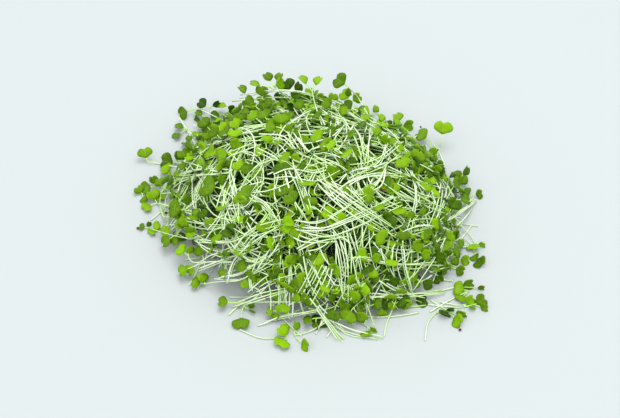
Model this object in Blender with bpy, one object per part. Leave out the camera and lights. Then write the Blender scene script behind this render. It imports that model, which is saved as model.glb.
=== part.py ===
"""A heap of cut Tuscan kale microgreens, lying on a flat surface.

Each seedling is a thin pale stem with two notched seed leaves on short stalks. Seedlings that
were cut together lie across each other as a tuft, and the tufts fill a low round mound. A tuft
is one solid, because each of its stems presses into the one below it, and it is clear of every
other tuft. Metres, +Z up. The origin is on the surface, under the flat leaf in the middle.
"""

import math
import random

import bmesh
import bpy
from mathutils import Vector

# The mound that the tufts fill
MOUND_HALF_WIDTH = 0.093
MOUND_HALF_DEPTH = 0.087
DRAWN_IN = 0.09
DRAWN_IN_TOWARDS = math.radians(50.0)
MOUND_HEIGHT = 0.056
MOUND_SHOULDER = 2.3
MOUND_ROUNDING = 0.85
FOOT_REACH = 1.12
STAND_PROUD = 0.010
SLOPE_REACH = 0.004
SLOPE_BLUNTING = 1.2

# A stem: its bend is in radians a metre, its dive and its goal are shares of the mound's height
STEM_LENGTH = (0.046, 0.068)
STEM_RADIUS = 0.0008
STEM_SIDES = 3
STEM_SEGMENTS = 5
CUT_SIDE = (0.3, 0.75)
STEM_BEND = 14.0
STEM_DIVE = (-2.0, 9.0)
TOP_SHARE = 1.02
LOW_HEIGHT = 0.012
STRAIGHT_CHANCE = 0.35
TIP_CROOK = (0.001, 0.011)
STEP = 0.0022
LEVEL_STEP = 0.9 * STEP

# A pair of seed leaves: angles are in radians, places along a blade are shares of its length
STALK_LENGTH = (0.0028, 0.0050)
STALK_WIDTH = 0.0011
BLADE_WIDTH = (0.0090, 0.0122)
BLADE_LENGTH_SHARE = 0.66
BLADE_THICKNESS = 0.0006
BLADE_ARCH = 0.22
SMALLER_BLADE = 0.88
WIDEST_AT = 0.38
LOBE_HALF_WIDTH = 0.62
NOTCH_AT = 0.76
LEAN_ALONG_STEM = (0.0, 0.9)
LEAN_OUTWARD = (0.5, 1.1)
LEAN_DRIFT = 0.35
PAIR_TWIST = 0.5
LEAF_FOLD = (0.05, 0.75)
STALK_BEADS = (0.35, 0.7)
BLADE_BEADS_AHEAD = (0.12, 0.4, 0.68, 0.96)
BLADE_BEADS_ACROSS = (-0.46, -0.23, 0.0, 0.23, 0.46)

# The tufts
SEED = 52
FLOOR_TUFTS = 11
BODY_TUFTS = 30
SEEDLINGS_A_TUFT = (2, 3)
TRIES = 1200
AIM_SPREAD = 0.94
AIM_LIFT = 0.36
AIM_STRIDE = 7
FLOOR_NUDGE = 0.008
BODY_NUDGE = 0.016
NEAREST_SPOTS = 8
FUSED_TURN = 0.4
RESTING_TURN = 0.6

# The room between seedlings, measured between beads on their middle lines and sheets
BEAD_SPACING = 0.0011
CELL = 0.0024
LEAF_ROOM = 0.0024
STEM_ROOM = 0.0021
REST_ROOM = 0.0017
FUSED_RISE = 0.0008

LEAF_GREEN = (0.22, 0.46, 0.04, 1.0)
LEAF_ROUGHNESS = 0.45


# The mound's form

def way_out(x, y):
    """How far out a place is: 0 in the mound's middle and 1 at its foot.

    The foot is an ellipse that is drawn in a little at its front left and its back right.
    """
    narrowed = math.cos(math.atan2(y, x) - DRAWN_IN_TOWARDS) ** 2
    return math.hypot(x / MOUND_HALF_WIDTH, y / MOUND_HALF_DEPTH) * (1.0 + DRAWN_IN * narrowed)


def mound_height(x, y):
    """Height of the mound's surface above the floor, 0 outside its foot."""
    return MOUND_HEIGHT * max(0.0, 1.0 - way_out(x, y) ** MOUND_SHOULDER) ** MOUND_ROUNDING


def mound_normal(x, y):
    """Direction that the mound's surface faces, blunted near its foot, where it is steep."""
    east = mound_height(x - SLOPE_REACH, y) - mound_height(x + SLOPE_REACH, y)
    north = mound_height(x, y - SLOPE_REACH) - mound_height(x, y + SLOPE_REACH)
    return Vector((east, north, 2.0 * SLOPE_REACH * SLOPE_BLUNTING)).normalized()


# How a seedling lies

def walk(start, heading, turn, reach, share_at, sense):
    """Points up to STEP apart along an arc draped over the mound, at a share of its height."""
    x = start.x
    y = start.y
    gone = 0.0
    last = Vector(start)
    points = []
    while gone < reach:
        heading += turn * STEP * sense
        x += math.cos(heading) * LEVEL_STEP * sense
        y += math.sin(heading) * LEVEL_STEP * sense
        height = max(share_at(gone) * mound_height(x, y), STEM_RADIUS)
        point = Vector((x, y, height))
        stride = point - last
        if stride.length > STEP:
            point = last + stride.normalized() * STEP
            x = point.x
            y = point.y
        gone += max((point - last).length, STEP * 0.5)
        points.append(point)
        last = point
    return points


def lay_stem(rng, knot, heading, on_floor):
    """The stem's line from its cut end to its leaf end, and the number of its point at the knot."""
    length = rng.uniform(*STEM_LENGTH)
    cut_side = length * rng.uniform(*CUT_SIDE)
    leaf_side = length - cut_side
    turn = rng.uniform(-STEM_BEND, STEM_BEND)
    share = knot.z / max(mound_height(knot.x, knot.y), LOW_HEIGHT)
    dive = 0.0 if on_floor else rng.uniform(*STEM_DIVE)
    goal = share if on_floor else rng.uniform(share, TOP_SHARE)
    rise = max(goal - share, 0.0) / leaf_side

    def towards_cut(gone):
        return max(share - dive * gone, 0.0)

    def towards_leaves(gone):
        return share + rise * gone

    behind = walk(knot, heading, turn, cut_side, towards_cut, -1)
    ahead = walk(knot, heading, turn, leaf_side, towards_leaves, 1)
    crook = 0.0 if on_floor or rng.random() < STRAIGHT_CHANCE else rng.uniform(*TIP_CROOK)
    for i, point in enumerate(ahead):
        lift = crook * ((i + 1) / len(ahead)) ** 2
        point += mound_normal(point.x, point.y) * lift
    return behind[::-1] + [knot.copy()] + ahead, len(behind)


def up_at(point):
    """Which way is up for a stem there: straight up on the floor, out of the mound above it."""
    if point.z < 2.0 * STEM_RADIUS:
        return Vector((0.0, 0.0, 1.0))
    return mound_normal(point.x, point.y)


def corners_of(line, knot_at):
    """The few points of a stem's line that its solid passes through, the knot among them."""
    last = len(line) - 1
    before = min(max(round(STEM_SEGMENTS * knot_at / last), 1), STEM_SEGMENTS - 1)
    after = STEM_SEGMENTS - before
    picks = [round(knot_at * i / before) for i in range(before)]
    picks += [round(knot_at + (last - knot_at) * i / after) for i in range(after + 1)]
    return [line[i] for i in picks]


def open_leaves(rng, line, on_floor):
    """The two seed leaves: for each its root, the way it grows, its upper side and its sizes."""
    tip = line[-1]
    tangent = (line[-1] - line[-3]).normalized()
    outward = mound_normal(tip.x, tip.y)
    if on_floor:
        face = Vector((0.0, 0.0, 1.0))
    else:
        drift = Vector([rng.gauss(0.0, LEAN_DRIFT) for _ in range(3)])
        face = tangent * rng.uniform(*LEAN_ALONG_STEM) + outward * rng.uniform(*LEAN_OUTWARD)
        face = (face + drift).normalized()
    side = face.cross(tangent)
    side = side.normalized() if side.length > 0.05 else face.orthogonal().normalized()
    twist = rng.uniform(-PAIR_TWIST, PAIR_TWIST)
    side = side * math.cos(twist) + face.cross(side) * math.sin(twist)
    width = rng.uniform(*BLADE_WIDTH)
    leaves = []
    for sense, size in ((1, 1.0), (-1, SMALLER_BLADE)):
        fold = 0.0 if on_floor else rng.uniform(*LEAF_FOLD)
        along = side * sense * math.cos(fold) + face * math.sin(fold)
        upper = face * math.cos(fold) - side * sense * math.sin(fold)
        root = tip - tangent * STEM_RADIUS
        if on_floor:
            root.z = BLADE_THICKNESS / 2
        leaves.append(
            {
                "root": root,
                "along": along,
                "upper": upper,
                "stalk": rng.uniform(*STALK_LENGTH),
                "width": width * size,
                "arch": 0.0 if on_floor else BLADE_ARCH,
            }
        )
    return leaves


def blade_point(leaf, ahead, across):
    """A point of the leaf's middle sheet, from its root and its midrib, arched up to the sides."""
    beside = leaf["upper"].cross(leaf["along"])
    lift = leaf["arch"] * abs(across)
    return leaf["root"] + leaf["along"] * ahead + beside * across + leaf["upper"] * lift


def beads_of(seedling):
    """Points strung along the stem and spread over the leaves, to keep seedlings apart."""
    beads = []
    corners = seedling["corners"]
    for near, far in zip(corners, corners[1:]):
        count = math.ceil((far - near).length / BEAD_SPACING)
        beads += [(near.lerp(far, i / count), False) for i in range(count)]
    beads.append((corners[-1], False))
    for leaf in seedling["leaves"]:
        length = leaf["width"] * BLADE_LENGTH_SHARE
        for part in STALK_BEADS:
            beads.append((blade_point(leaf, leaf["stalk"] * part, 0.0), False))
        for part in BLADE_BEADS_AHEAD:
            for across in BLADE_BEADS_ACROSS:
                ahead = leaf["stalk"] + length * part
                beads.append((blade_point(leaf, ahead, leaf["width"] * across), True))
    return beads


def in_mound(point):
    """True if a bead is above the floor and not far outside the mound."""
    if point.z < 0.499 * BLADE_THICKNESS:
        return False
    if way_out(point.x, point.y) > FOOT_REACH:
        return False
    return point.z < mound_height(point.x, point.y) + STAND_PROUD


def cell_of(point):
    return tuple(math.floor(c / CELL) for c in point)


def room_needed(is_leaf, tuft, resting_on, other):
    """How far a bead stays from another one, which may be of its tuft or of what it rests on."""
    if is_leaf or other["is_leaf"]:
        return LEAF_ROOM
    if other["tuft"] == tuft:
        return 0.0
    return REST_ROOM * 0.97 if other["stem"] == resting_on else STEM_ROOM


def is_clear(beads, tuft, resting_on, taken):
    """True if the beads are in the mound and clear of all that is there already."""
    if not all(in_mound(point) for point, _ in beads):
        return False
    for point, is_leaf in beads:
        i, j, k = cell_of(point)
        for a in (i - 1, i, i + 1):
            for b in (j - 1, j, j + 1):
                for c in (k - 1, k, k + 1):
                    for other in taken.get((a, b, c), ()):
                        room = room_needed(is_leaf, tuft, resting_on, other)
                        if (point - other["at"]).length < room:
                            return False
    return True


def keep(seedling, tuft, taken, spots):
    """Note the room that a seedling takes, and where another stem can cross it."""
    stem = len(spots) // (STEM_SEGMENTS - 1)
    for point, is_leaf in beads_of(seedling):
        bead = {"at": point, "is_leaf": is_leaf, "tuft": tuft, "stem": stem}
        taken.setdefault(cell_of(point), []).append(bead)
    corners = seedling["corners"]
    for i in range(1, STEM_SEGMENTS):
        ran = corners[i + 1] - corners[i - 1]
        spot = {"at": corners[i], "way": math.atan2(ran.y, ran.x), "tuft": tuft, "stem": stem}
        spots.append(spot)
    return seedling


def aims():
    """The places that tufts are meant for: an even spread over the floor, then up the mound.

    Each spread follows a sunflower's spiral, and neighbours on it get unlike heights.
    """
    golden = math.pi * (3.0 - math.sqrt(5.0))
    floor = []
    body = []
    for places, count in ((floor, FLOOR_TUFTS), (body, BODY_TUFTS)):
        for i in range(count):
            out = AIM_SPREAD * math.sqrt((i + 0.3) / count)
            x = MOUND_HALF_WIDTH * out * math.cos(golden * i)
            y = MOUND_HALF_DEPTH * out * math.sin(golden * i)
            share = (AIM_STRIDE * i % count + 0.5) / count
            places.append(Vector((x, y, share**AIM_LIFT * mound_height(x, y))))
    return floor, sorted(body, key=lambda aim: aim.z)


def middle_seedling(rng):
    """The seedling under the middle of the mound, with one leaf pressed flat over the origin."""
    tip = Vector((-0.0035, 0.0072, STEM_RADIUS))
    line = [tip - Vector((STEP * i, 0.0, 0.0)) for i in range(23, -1, -1)]
    leaves = open_leaves(rng, line, True)
    for leaf, sideways in zip(leaves, (-1.0, 1.0)):
        leaf["along"] = Vector((0.25, sideways, 0.0)).normalized()
        leaf["stalk"] = STALK_LENGTH[0]
    return {"line": line, "corners": corners_of(line, len(line) // 2), "leaves": leaves}


def cross(rng, spot, rise, least_turn):
    """A seedling whose stem crosses another one at a spot, with its middle line a rise above."""
    knot = spot["at"] + up_at(spot["at"]) * rise
    heading = spot["way"] + rng.choice((-1, 1)) * rng.uniform(least_turn, math.pi - least_turn)
    return seedling_through(rng, knot, heading, False)


def seedling_through(rng, knot, heading, on_floor):
    """A seedling whose stem runs through the knot, with its leaves open at the stem's tip."""
    line, knot_at = lay_stem(rng, knot, heading, on_floor)
    leaves = open_leaves(rng, line, on_floor)
    return {"line": line, "corners": corners_of(line, knot_at), "leaves": leaves}


def spot_near(rng, aim, spots):
    """One of the few spots nearest to an aim, and not far above it."""
    lower = [spot for spot in spots if spot["at"].z < aim.z + 5 * STEM_RADIUS]
    nearest = sorted(lower or spots, key=lambda spot: (spot["at"] - aim).length)
    return rng.choice(nearest[:NEAREST_SPOTS])


def grow_tufts():
    """Every tuft as a list of seedlings.

    A tuft's first stem lies on the floor or just over another tuft's stem. Its other stems each
    cross one of its own and press into it.
    """
    rng = random.Random(SEED)
    taken = {}
    spots = []
    tufts = []
    floor, body = aims()
    for number, aim in enumerate(floor + body):
        tuft = []
        if number == 0:
            tuft.append(keep(middle_seedling(rng), number, taken, spots))
        wanted = rng.randint(*SEEDLINGS_A_TUFT)
        for _ in range(TRIES):
            if len(tuft) == wanted:
                break
            resting_on = None
            if tuft:
                own = [spot for spot in spots if spot["tuft"] == number]
                seedling = cross(rng, rng.choice(own), FUSED_RISE, FUSED_TURN)
            elif number < len(floor):
                knot = Vector((aim.x, aim.y, STEM_RADIUS))
                knot.x += rng.uniform(-FLOOR_NUDGE, FLOOR_NUDGE)
                knot.y += rng.uniform(-FLOOR_NUDGE, FLOOR_NUDGE)
                seedling = seedling_through(rng, knot, rng.uniform(0.0, 2.0 * math.pi), True)
            else:
                nudge = Vector([rng.gauss(0.0, BODY_NUDGE) for _ in range(3)])
                spot = spot_near(rng, aim + nudge, spots)
                resting_on = spot["stem"]
                seedling = cross(rng, spot, REST_ROOM, RESTING_TURN)
            if is_clear(beads_of(seedling), number, resting_on, taken):
                tuft.append(keep(seedling, number, taken, spots))
        if tuft:
            tufts.append(tuft)
    return tufts


# Solids

def stem_mesh(corners):
    """A closed prism through the stem's corners, with one edge down."""
    mesh = bmesh.new()
    rings = []
    for i, point in enumerate(corners):
        tangent = corners[min(i + 1, STEM_SEGMENTS)] - corners[max(i - 1, 0)]
        side = tangent.cross(up_at(point)).normalized()
        over = side.cross(tangent).normalized()
        ring = []
        for k in range(STEM_SIDES):
            angle = 2.0 * math.pi * k / STEM_SIDES - math.pi / 2.0
            offset = side * math.cos(angle) + over * math.sin(angle)
            ring.append(mesh.verts.new(point + offset * STEM_RADIUS))
        rings.append(ring)
    for near, far in zip(rings, rings[1:]):
        for k in range(STEM_SIDES):
            m = (k + 1) % STEM_SIDES
            mesh.faces.new((near[k], near[m], far[m], far[k]))
    mesh.faces.new(rings[0])
    mesh.faces.new(rings[-1])
    bmesh.ops.triangulate(mesh, faces=mesh.faces[:])
    return mesh


def leaf_outline(leaf):
    """Round a leaf's edge from its root: a narrow stalk, then a kidney-shaped, notched blade."""
    length = leaf["width"] * BLADE_LENGTH_SHARE
    half = leaf["width"] / 2.0
    stalk = leaf["stalk"]
    edge = [
        (0.0, STALK_WIDTH / 2.0),
        (stalk, STALK_WIDTH / 2.0),
        (stalk + WIDEST_AT * length, half),
        (stalk + length, LOBE_HALF_WIDTH * half),
        (stalk + NOTCH_AT * length, 0.0),
    ]
    return edge + [(ahead, -across) for ahead, across in edge[3:0:-1]]


def leaf_pair_mesh(leaves):
    """A closed sheet of both leaves, whose stalks meet end to end inside the stem's tip."""
    mesh = bmesh.new()
    sheets = []
    for level in (-0.5, 0.5):
        sheet = []
        for leaf in leaves:
            raised = leaf["upper"] * (level * BLADE_THICKNESS)
            for ahead, across in leaf_outline(leaf):
                sheet.append(mesh.verts.new(blade_point(leaf, ahead, across) + raised))
        sheets.append(sheet)
    lower, upper = sheets
    around = len(lower)
    for i in range(around):
        j = (i + 1) % around
        mesh.faces.new((lower[i], lower[j], upper[j], upper[i]))
    half = around // 2
    for sheet in sheets:
        for root in (0, half):
            other_root = (root + half) % around
            for corners in (
                (root, root + 1, root + 7),
                (root, root + 7, other_root),
                (root + 1, root + 4, root + 7),
                (root + 1, root + 2, root + 3),
                (root + 1, root + 3, root + 4),
                (root + 4, root + 5, root + 7),
                (root + 5, root + 6, root + 7),
            ):
                mesh.faces.new([sheet[k] for k in corners])
    bmesh.ops.triangulate(mesh, faces=mesh.faces[:])
    return mesh


def add_object(name, mesh, material, collection):
    bmesh.ops.recalc_face_normals(mesh, faces=mesh.faces[:])
    data = bpy.data.meshes.new(name)
    mesh.to_mesh(data)
    mesh.free()
    data.materials.append(material)
    made = bpy.data.objects.new(name, data)
    collection.objects.link(made)
    return made


def add_tuft(name, seedlings, material):
    """One solid: the first stem, joined with the tuft's other stems and all its leaves."""
    scene_collection = bpy.context.scene.collection
    rest = bpy.data.collections.new(name + "_rest")
    scene_collection.children.link(rest)
    tuft = add_object(name, stem_mesh(seedlings[0]["corners"]), material, scene_collection)
    for number, seedling in enumerate(seedlings):
        if number:
            add_object(name + "_stem", stem_mesh(seedling["corners"]), material, rest)
        add_object(name + "_leaves", leaf_pair_mesh(seedling["leaves"]), material, rest)
    union = tuft.modifiers.new("join", "BOOLEAN")
    union.operation = "UNION"
    union.operand_type = "COLLECTION"
    union.collection = rest
    union.solver = "EXACT"
    bpy.context.view_layer.update()
    joined = bpy.data.meshes.new_from_object(
        tuft.evaluated_get(bpy.context.evaluated_depsgraph_get())
    )
    tuft.modifiers.clear()
    tuft.data = joined
    for part in list(rest.objects):
        bpy.data.objects.remove(part)
    bpy.data.collections.remove(rest)
    return tuft


def leaf_material():
    material = bpy.data.materials.new("kale_leaf")
    material.use_nodes = True
    shader = material.node_tree.nodes["Principled BSDF"]
    shader.inputs["Base Color"].default_value = LEAF_GREEN
    shader.inputs["Roughness"].default_value = LEAF_ROUGHNESS
    shader.inputs["Metallic"].default_value = 0.0
    return material


def main():
    for existing in list(bpy.data.objects):
        bpy.data.objects.remove(existing)
    material = leaf_material()
    for number, seedlings in enumerate(grow_tufts(), start=1):
        add_tuft(f"tuft_{number:02d}", seedlings, material)


main()
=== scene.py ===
"""The looks of a heap of cut Tuscan kale microgreens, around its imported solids.

Each tuft of the heap gets finer seedlings that lie where its solid lies. The room between the
tufts is filled with more seedlings: some lie in sheaves, some stand at the edge, and the rest
follow the mound's surface. Metres, +Z up, in the frame of the solids.
"""

import math
import random

import bmesh
import bpy
import numpy as np
from bpy.props import FloatProperty, FloatVectorProperty, IntProperty, PointerProperty
from mathutils import Matrix, Vector


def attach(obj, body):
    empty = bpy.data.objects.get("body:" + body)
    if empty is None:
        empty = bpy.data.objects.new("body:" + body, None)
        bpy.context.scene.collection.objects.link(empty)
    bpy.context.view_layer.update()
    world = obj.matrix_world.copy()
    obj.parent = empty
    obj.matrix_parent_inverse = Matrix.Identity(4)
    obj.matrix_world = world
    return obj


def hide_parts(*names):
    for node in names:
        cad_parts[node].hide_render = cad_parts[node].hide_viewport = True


bl_info = {
    "name": "Kale Microgreens Heap",
    "version": (1, 0, 0),
    "blender": (4, 5, 0),
    "location": "3D View > Sidebar > Microgreens",
    "description": "Builds the fine seedlings of a heap of cut kale microgreens",
    "category": "Object",
}

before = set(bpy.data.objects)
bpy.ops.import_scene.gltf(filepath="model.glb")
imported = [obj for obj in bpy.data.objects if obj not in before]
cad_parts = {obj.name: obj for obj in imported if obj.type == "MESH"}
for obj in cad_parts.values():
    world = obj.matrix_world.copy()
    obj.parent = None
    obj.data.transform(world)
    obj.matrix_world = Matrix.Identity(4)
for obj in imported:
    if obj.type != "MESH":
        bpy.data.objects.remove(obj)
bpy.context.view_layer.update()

# Places on a sunflower's spiral are this angle apart
GOLDEN_ANGLE = math.pi * (3.0 - math.sqrt(5.0))
MILLIMETRE = 0.001
# Two unit directions are nearly parallel if their cross product is shorter than this
NEARLY_PARALLEL = 0.05

# The mound that the tufts fill
MOUND_HALF_WIDTH = 0.093
MOUND_HALF_DEPTH = 0.087
DRAWN_IN = 0.09
DRAWN_IN_TOWARDS = math.radians(50.0)
MOUND_HEIGHT = 0.056
MOUND_SHOULDER = 2.3
MOUND_ROUNDING = 0.85
FOOT_REACH = 1.12
STAND_PROUD = 0.010
SLOPE_REACH = 0.004
SLOPE_BLUNTING = 1.2

# A stem: its bend is in radians a metre, its dive and its goal are shares of the mound's height
STEM_LENGTH = (0.046, 0.068)
STEM_RADIUS = 0.0008
STEM_SEGMENTS = 5
CUT_SIDE = (0.3, 0.75)
STEM_BEND = 14.0
STEM_DIVE = (-2.0, 9.0)
TOP_SHARE = 1.02
LOW_HEIGHT = 0.012
STRAIGHT_CHANCE = 0.35
TIP_CROOK = (0.001, 0.011)
STEP = 0.0022
LEVEL_STEP = 0.9 * STEP
LEAST_STEP = 0.5 * STEP
ON_FLOOR = 2.0 * STEM_RADIUS

# A pair of seed leaves: angles are in radians, places along a blade are shares of its length
STALK_LENGTH = (0.0028, 0.0050)
BLADE_WIDTH = (0.0090, 0.0122)
BLADE_LENGTH_SHARE = 0.66
BLADE_THICKNESS = 0.0006
BLADE_ARCH = 0.22
SMALLER_BLADE = 0.88
LEAN_ALONG_STEM = (0.0, 0.9)
LEAN_OUTWARD = (0.5, 1.1)
LEAN_DRIFT = 0.35
PAIR_TWIST = 0.5
LEAF_FOLD = (0.05, 0.75)
STALK_BEADS = (0.35, 0.7)
BLADE_BEADS_AHEAD = (0.12, 0.4, 0.68, 0.96)
BLADE_BEADS_ACROSS = (-0.46, -0.23, 0.0, 0.23, 0.46)

# The tufts
SEED = 52
FLOOR_TUFTS = 11
BODY_TUFTS = 30
SEEDLINGS_A_TUFT = (2, 3)
TRIES = 1200
AIM_SPREAD = 0.94
AIM_START = 0.3
AIM_LIFT = 0.36
AIM_STRIDE = 7
FLOOR_NUDGE = 0.008
BODY_NUDGE = 0.016
NEAREST_SPOTS = 8
SPOT_ABOVE = 5 * STEM_RADIUS
FUSED_TURN = 0.4
RESTING_TURN = 0.6

# The seedling under the mound's middle: where its tip is, its stem's steps, its leaves' lean
MIDDLE_TIP = (-0.0035, 0.0072)
MIDDLE_STEPS = 23
MIDDLE_LEAN = 0.25

# The room between seedlings, from bead to bead on their middle lines and sheets
BEAD_SPACING = 0.0011
CELL = 0.0024
LEAF_ROOM = 0.0024
STEM_ROOM = 0.0021
REST_ROOM = 0.0017
LEAST_REST_ROOM = 0.97 * REST_ROOM
FUSED_RISE = 0.0008
LOWEST_BEAD = 0.499 * BLADE_THICKNESS


# The mound's form


def way_out(x, y):
    """How far out a place is: 0 in the mound's middle and 1 at its foot.

    The foot is an ellipse that is drawn in a little at its front left and its back right.
    """
    narrowed = math.cos(math.atan2(y, x) - DRAWN_IN_TOWARDS) ** 2
    return math.hypot(x / MOUND_HALF_WIDTH, y / MOUND_HALF_DEPTH) * (1.0 + DRAWN_IN * narrowed)


def mound_height(x, y):
    """Height of the mound's surface above the floor, 0 outside its foot."""
    return MOUND_HEIGHT * max(0.0, 1.0 - way_out(x, y) ** MOUND_SHOULDER) ** MOUND_ROUNDING


def on_spiral(i, count, spread, start=0.5, turned=0.0):
    """A place of an even spread over the mound, which follows a sunflower's spiral."""
    out = spread * math.sqrt((i + start) / count)
    angle = GOLDEN_ANGLE * (i + turned)
    return MOUND_HALF_WIDTH * out * math.cos(angle), MOUND_HALF_DEPTH * out * math.sin(angle)


def mound_normal(x, y):
    """Direction that the mound's surface faces, blunted near its foot, where it is steep."""
    east = mound_height(x - SLOPE_REACH, y) - mound_height(x + SLOPE_REACH, y)
    north = mound_height(x, y - SLOPE_REACH) - mound_height(x, y + SLOPE_REACH)
    return Vector((east, north, 2.0 * SLOPE_REACH * SLOPE_BLUNTING)).normalized()


# How a seedling lies


def walk(start, heading, turn, reach, share_at, sense):
    """Points up to STEP apart along an arc draped over the mound, at a share of its height."""
    x = start.x
    y = start.y
    gone = 0.0
    last = Vector(start)
    points = []
    while gone < reach:
        heading += turn * STEP * sense
        x += math.cos(heading) * LEVEL_STEP * sense
        y += math.sin(heading) * LEVEL_STEP * sense
        height = max(share_at(gone) * mound_height(x, y), STEM_RADIUS)
        point = Vector((x, y, height))
        stride = point - last
        if stride.length > STEP:
            point = last + stride.normalized() * STEP
            x = point.x
            y = point.y
        gone += max((point - last).length, LEAST_STEP)
        points.append(point)
        last = point
    return points


def lay_stem(rng, knot, heading, on_floor):
    """The stem's line from its cut end to its leaf end, and its point's number at the knot."""
    length = rng.uniform(*STEM_LENGTH)
    cut_side = length * rng.uniform(*CUT_SIDE)
    leaf_side = length - cut_side
    turn = rng.uniform(-STEM_BEND, STEM_BEND)
    share = knot.z / max(mound_height(knot.x, knot.y), LOW_HEIGHT)
    dive = 0.0 if on_floor else rng.uniform(*STEM_DIVE)
    goal = share if on_floor else rng.uniform(share, TOP_SHARE)
    rise = max(goal - share, 0.0) / leaf_side

    def towards_cut(gone):
        return max(share - dive * gone, 0.0)

    def towards_leaves(gone):
        return share + rise * gone

    behind = walk(knot, heading, turn, cut_side, towards_cut, -1)
    ahead = walk(knot, heading, turn, leaf_side, towards_leaves, 1)
    crook = 0.0 if on_floor or rng.random() < STRAIGHT_CHANCE else rng.uniform(*TIP_CROOK)
    for i, point in enumerate(ahead):
        lift = crook * ((i + 1) / len(ahead)) ** 2
        point += mound_normal(point.x, point.y) * lift
    return behind[::-1] + [knot.copy()] + ahead, len(behind)


def up_at(point):
    """Which way is up for a stem there: straight up on the floor, out of the mound above it."""
    if point.z < ON_FLOOR:
        return Vector((0.0, 0.0, 1.0))
    return mound_normal(point.x, point.y)


def corners_of(line, knot_at):
    """The few points of a stem's line that its solid passes through, the knot among them."""
    last = len(line) - 1
    before = min(max(round(STEM_SEGMENTS * knot_at / last), 1), STEM_SEGMENTS - 1)
    after = STEM_SEGMENTS - before
    picks = [round(knot_at * i / before) for i in range(before)]
    picks += [round(knot_at + (last - knot_at) * i / after) for i in range(after + 1)]
    return [line[i] for i in picks]


def open_leaves(rng, line, on_floor):
    """The two seed leaves: for each its root, the way it grows, its upper side and its sizes."""
    tip = line[-1]
    tangent = (line[-1] - line[-3]).normalized()
    outward = mound_normal(tip.x, tip.y)
    if on_floor:
        face = Vector((0.0, 0.0, 1.0))
    else:
        drift = Vector([rng.gauss(0.0, LEAN_DRIFT) for _ in range(3)])
        face = tangent * rng.uniform(*LEAN_ALONG_STEM) + outward * rng.uniform(*LEAN_OUTWARD)
        face = (face + drift).normalized()
    side = face.cross(tangent)
    side = side if side.length > NEARLY_PARALLEL else face.orthogonal()
    side.normalize()
    twist = rng.uniform(-PAIR_TWIST, PAIR_TWIST)
    side = side * math.cos(twist) + face.cross(side) * math.sin(twist)
    width = rng.uniform(*BLADE_WIDTH)
    leaves = []
    for sense, size in ((1, 1.0), (-1, SMALLER_BLADE)):
        fold = 0.0 if on_floor else rng.uniform(*LEAF_FOLD)
        along = side * sense * math.cos(fold) + face * math.sin(fold)
        upper = face * math.cos(fold) - side * sense * math.sin(fold)
        root = tip - tangent * STEM_RADIUS
        if on_floor:
            root.z = BLADE_THICKNESS / 2
        leaves.append(
            {
                "root": root,
                "along": along,
                "upper": upper,
                "stalk": rng.uniform(*STALK_LENGTH),
                "width": width * size,
                "arch": 0.0 if on_floor else BLADE_ARCH,
            }
        )
    return leaves


def blade_point(leaf, ahead, across):
    """A point of the leaf's middle sheet, from its root and its midrib, arched up to the sides."""
    beside = leaf["upper"].cross(leaf["along"])
    lift = leaf["arch"] * abs(across)
    return leaf["root"] + leaf["along"] * ahead + beside * across + leaf["upper"] * lift


def beads_of(seedling):
    """Points strung along the stem and spread over the leaves, to keep seedlings apart."""
    beads = []
    corners = seedling["corners"]
    for near, far in zip(corners, corners[1:]):
        count = math.ceil((far - near).length / BEAD_SPACING)
        beads += [(near.lerp(far, i / count), False) for i in range(count)]
    beads.append((corners[-1], False))
    for leaf in seedling["leaves"]:
        length = leaf["width"] * BLADE_LENGTH_SHARE
        for part in STALK_BEADS:
            beads.append((blade_point(leaf, leaf["stalk"] * part, 0.0), False))
        for part in BLADE_BEADS_AHEAD:
            for across in BLADE_BEADS_ACROSS:
                ahead = leaf["stalk"] + length * part
                beads.append((blade_point(leaf, ahead, leaf["width"] * across), True))
    return beads


def in_mound(point):
    """True if a bead is above the floor and not far outside the mound."""
    if point.z < LOWEST_BEAD or way_out(point.x, point.y) > FOOT_REACH:
        return False
    return point.z < mound_height(point.x, point.y) + STAND_PROUD


def cell_of(point):
    return tuple(math.floor(c / CELL) for c in point)


def beads_near(point, taken):
    """The beads that are there already in a point's cell and in the cells around it."""
    i, j, k = cell_of(point)
    for a in (i - 1, i, i + 1):
        for b in (j - 1, j, j + 1):
            for c in (k - 1, k, k + 1):
                yield from taken.get((a, b, c), ())


def note_room(beads, taken, **whose):
    """Notes the room that beads take, and whose they are."""
    for point, is_leaf in beads:
        bead = {"at": point, "is_leaf": is_leaf, **whose}
        taken.setdefault(cell_of(point), []).append(bead)


def room_needed(is_leaf, tuft, resting_on, other):
    """How far a bead stays from another one, which may be of its tuft or of what it rests on."""
    if is_leaf or other["is_leaf"]:
        return LEAF_ROOM
    if other["tuft"] == tuft:
        return 0.0
    return LEAST_REST_ROOM if other["stem"] == resting_on else STEM_ROOM


def is_clear(beads, tuft, resting_on, taken):
    """True if the beads are in the mound and clear of all that is there already."""
    if not all(in_mound(point) for point, _ in beads):
        return False
    for point, is_leaf in beads:
        for other in beads_near(point, taken):
            room = room_needed(is_leaf, tuft, resting_on, other)
            if (point - other["at"]).length < room:
                return False
    return True


def keep(seedling, tuft, taken, spots):
    """Notes the room that a seedling takes, and where another stem can cross it."""
    stem = len(spots) // (STEM_SEGMENTS - 1)
    note_room(beads_of(seedling), taken, tuft=tuft, stem=stem)
    corners = seedling["corners"]
    for i in range(1, STEM_SEGMENTS):
        ran = corners[i + 1] - corners[i - 1]
        spot = {"at": corners[i], "way": math.atan2(ran.y, ran.x), "tuft": tuft, "stem": stem}
        spots.append(spot)
    return seedling


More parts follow.
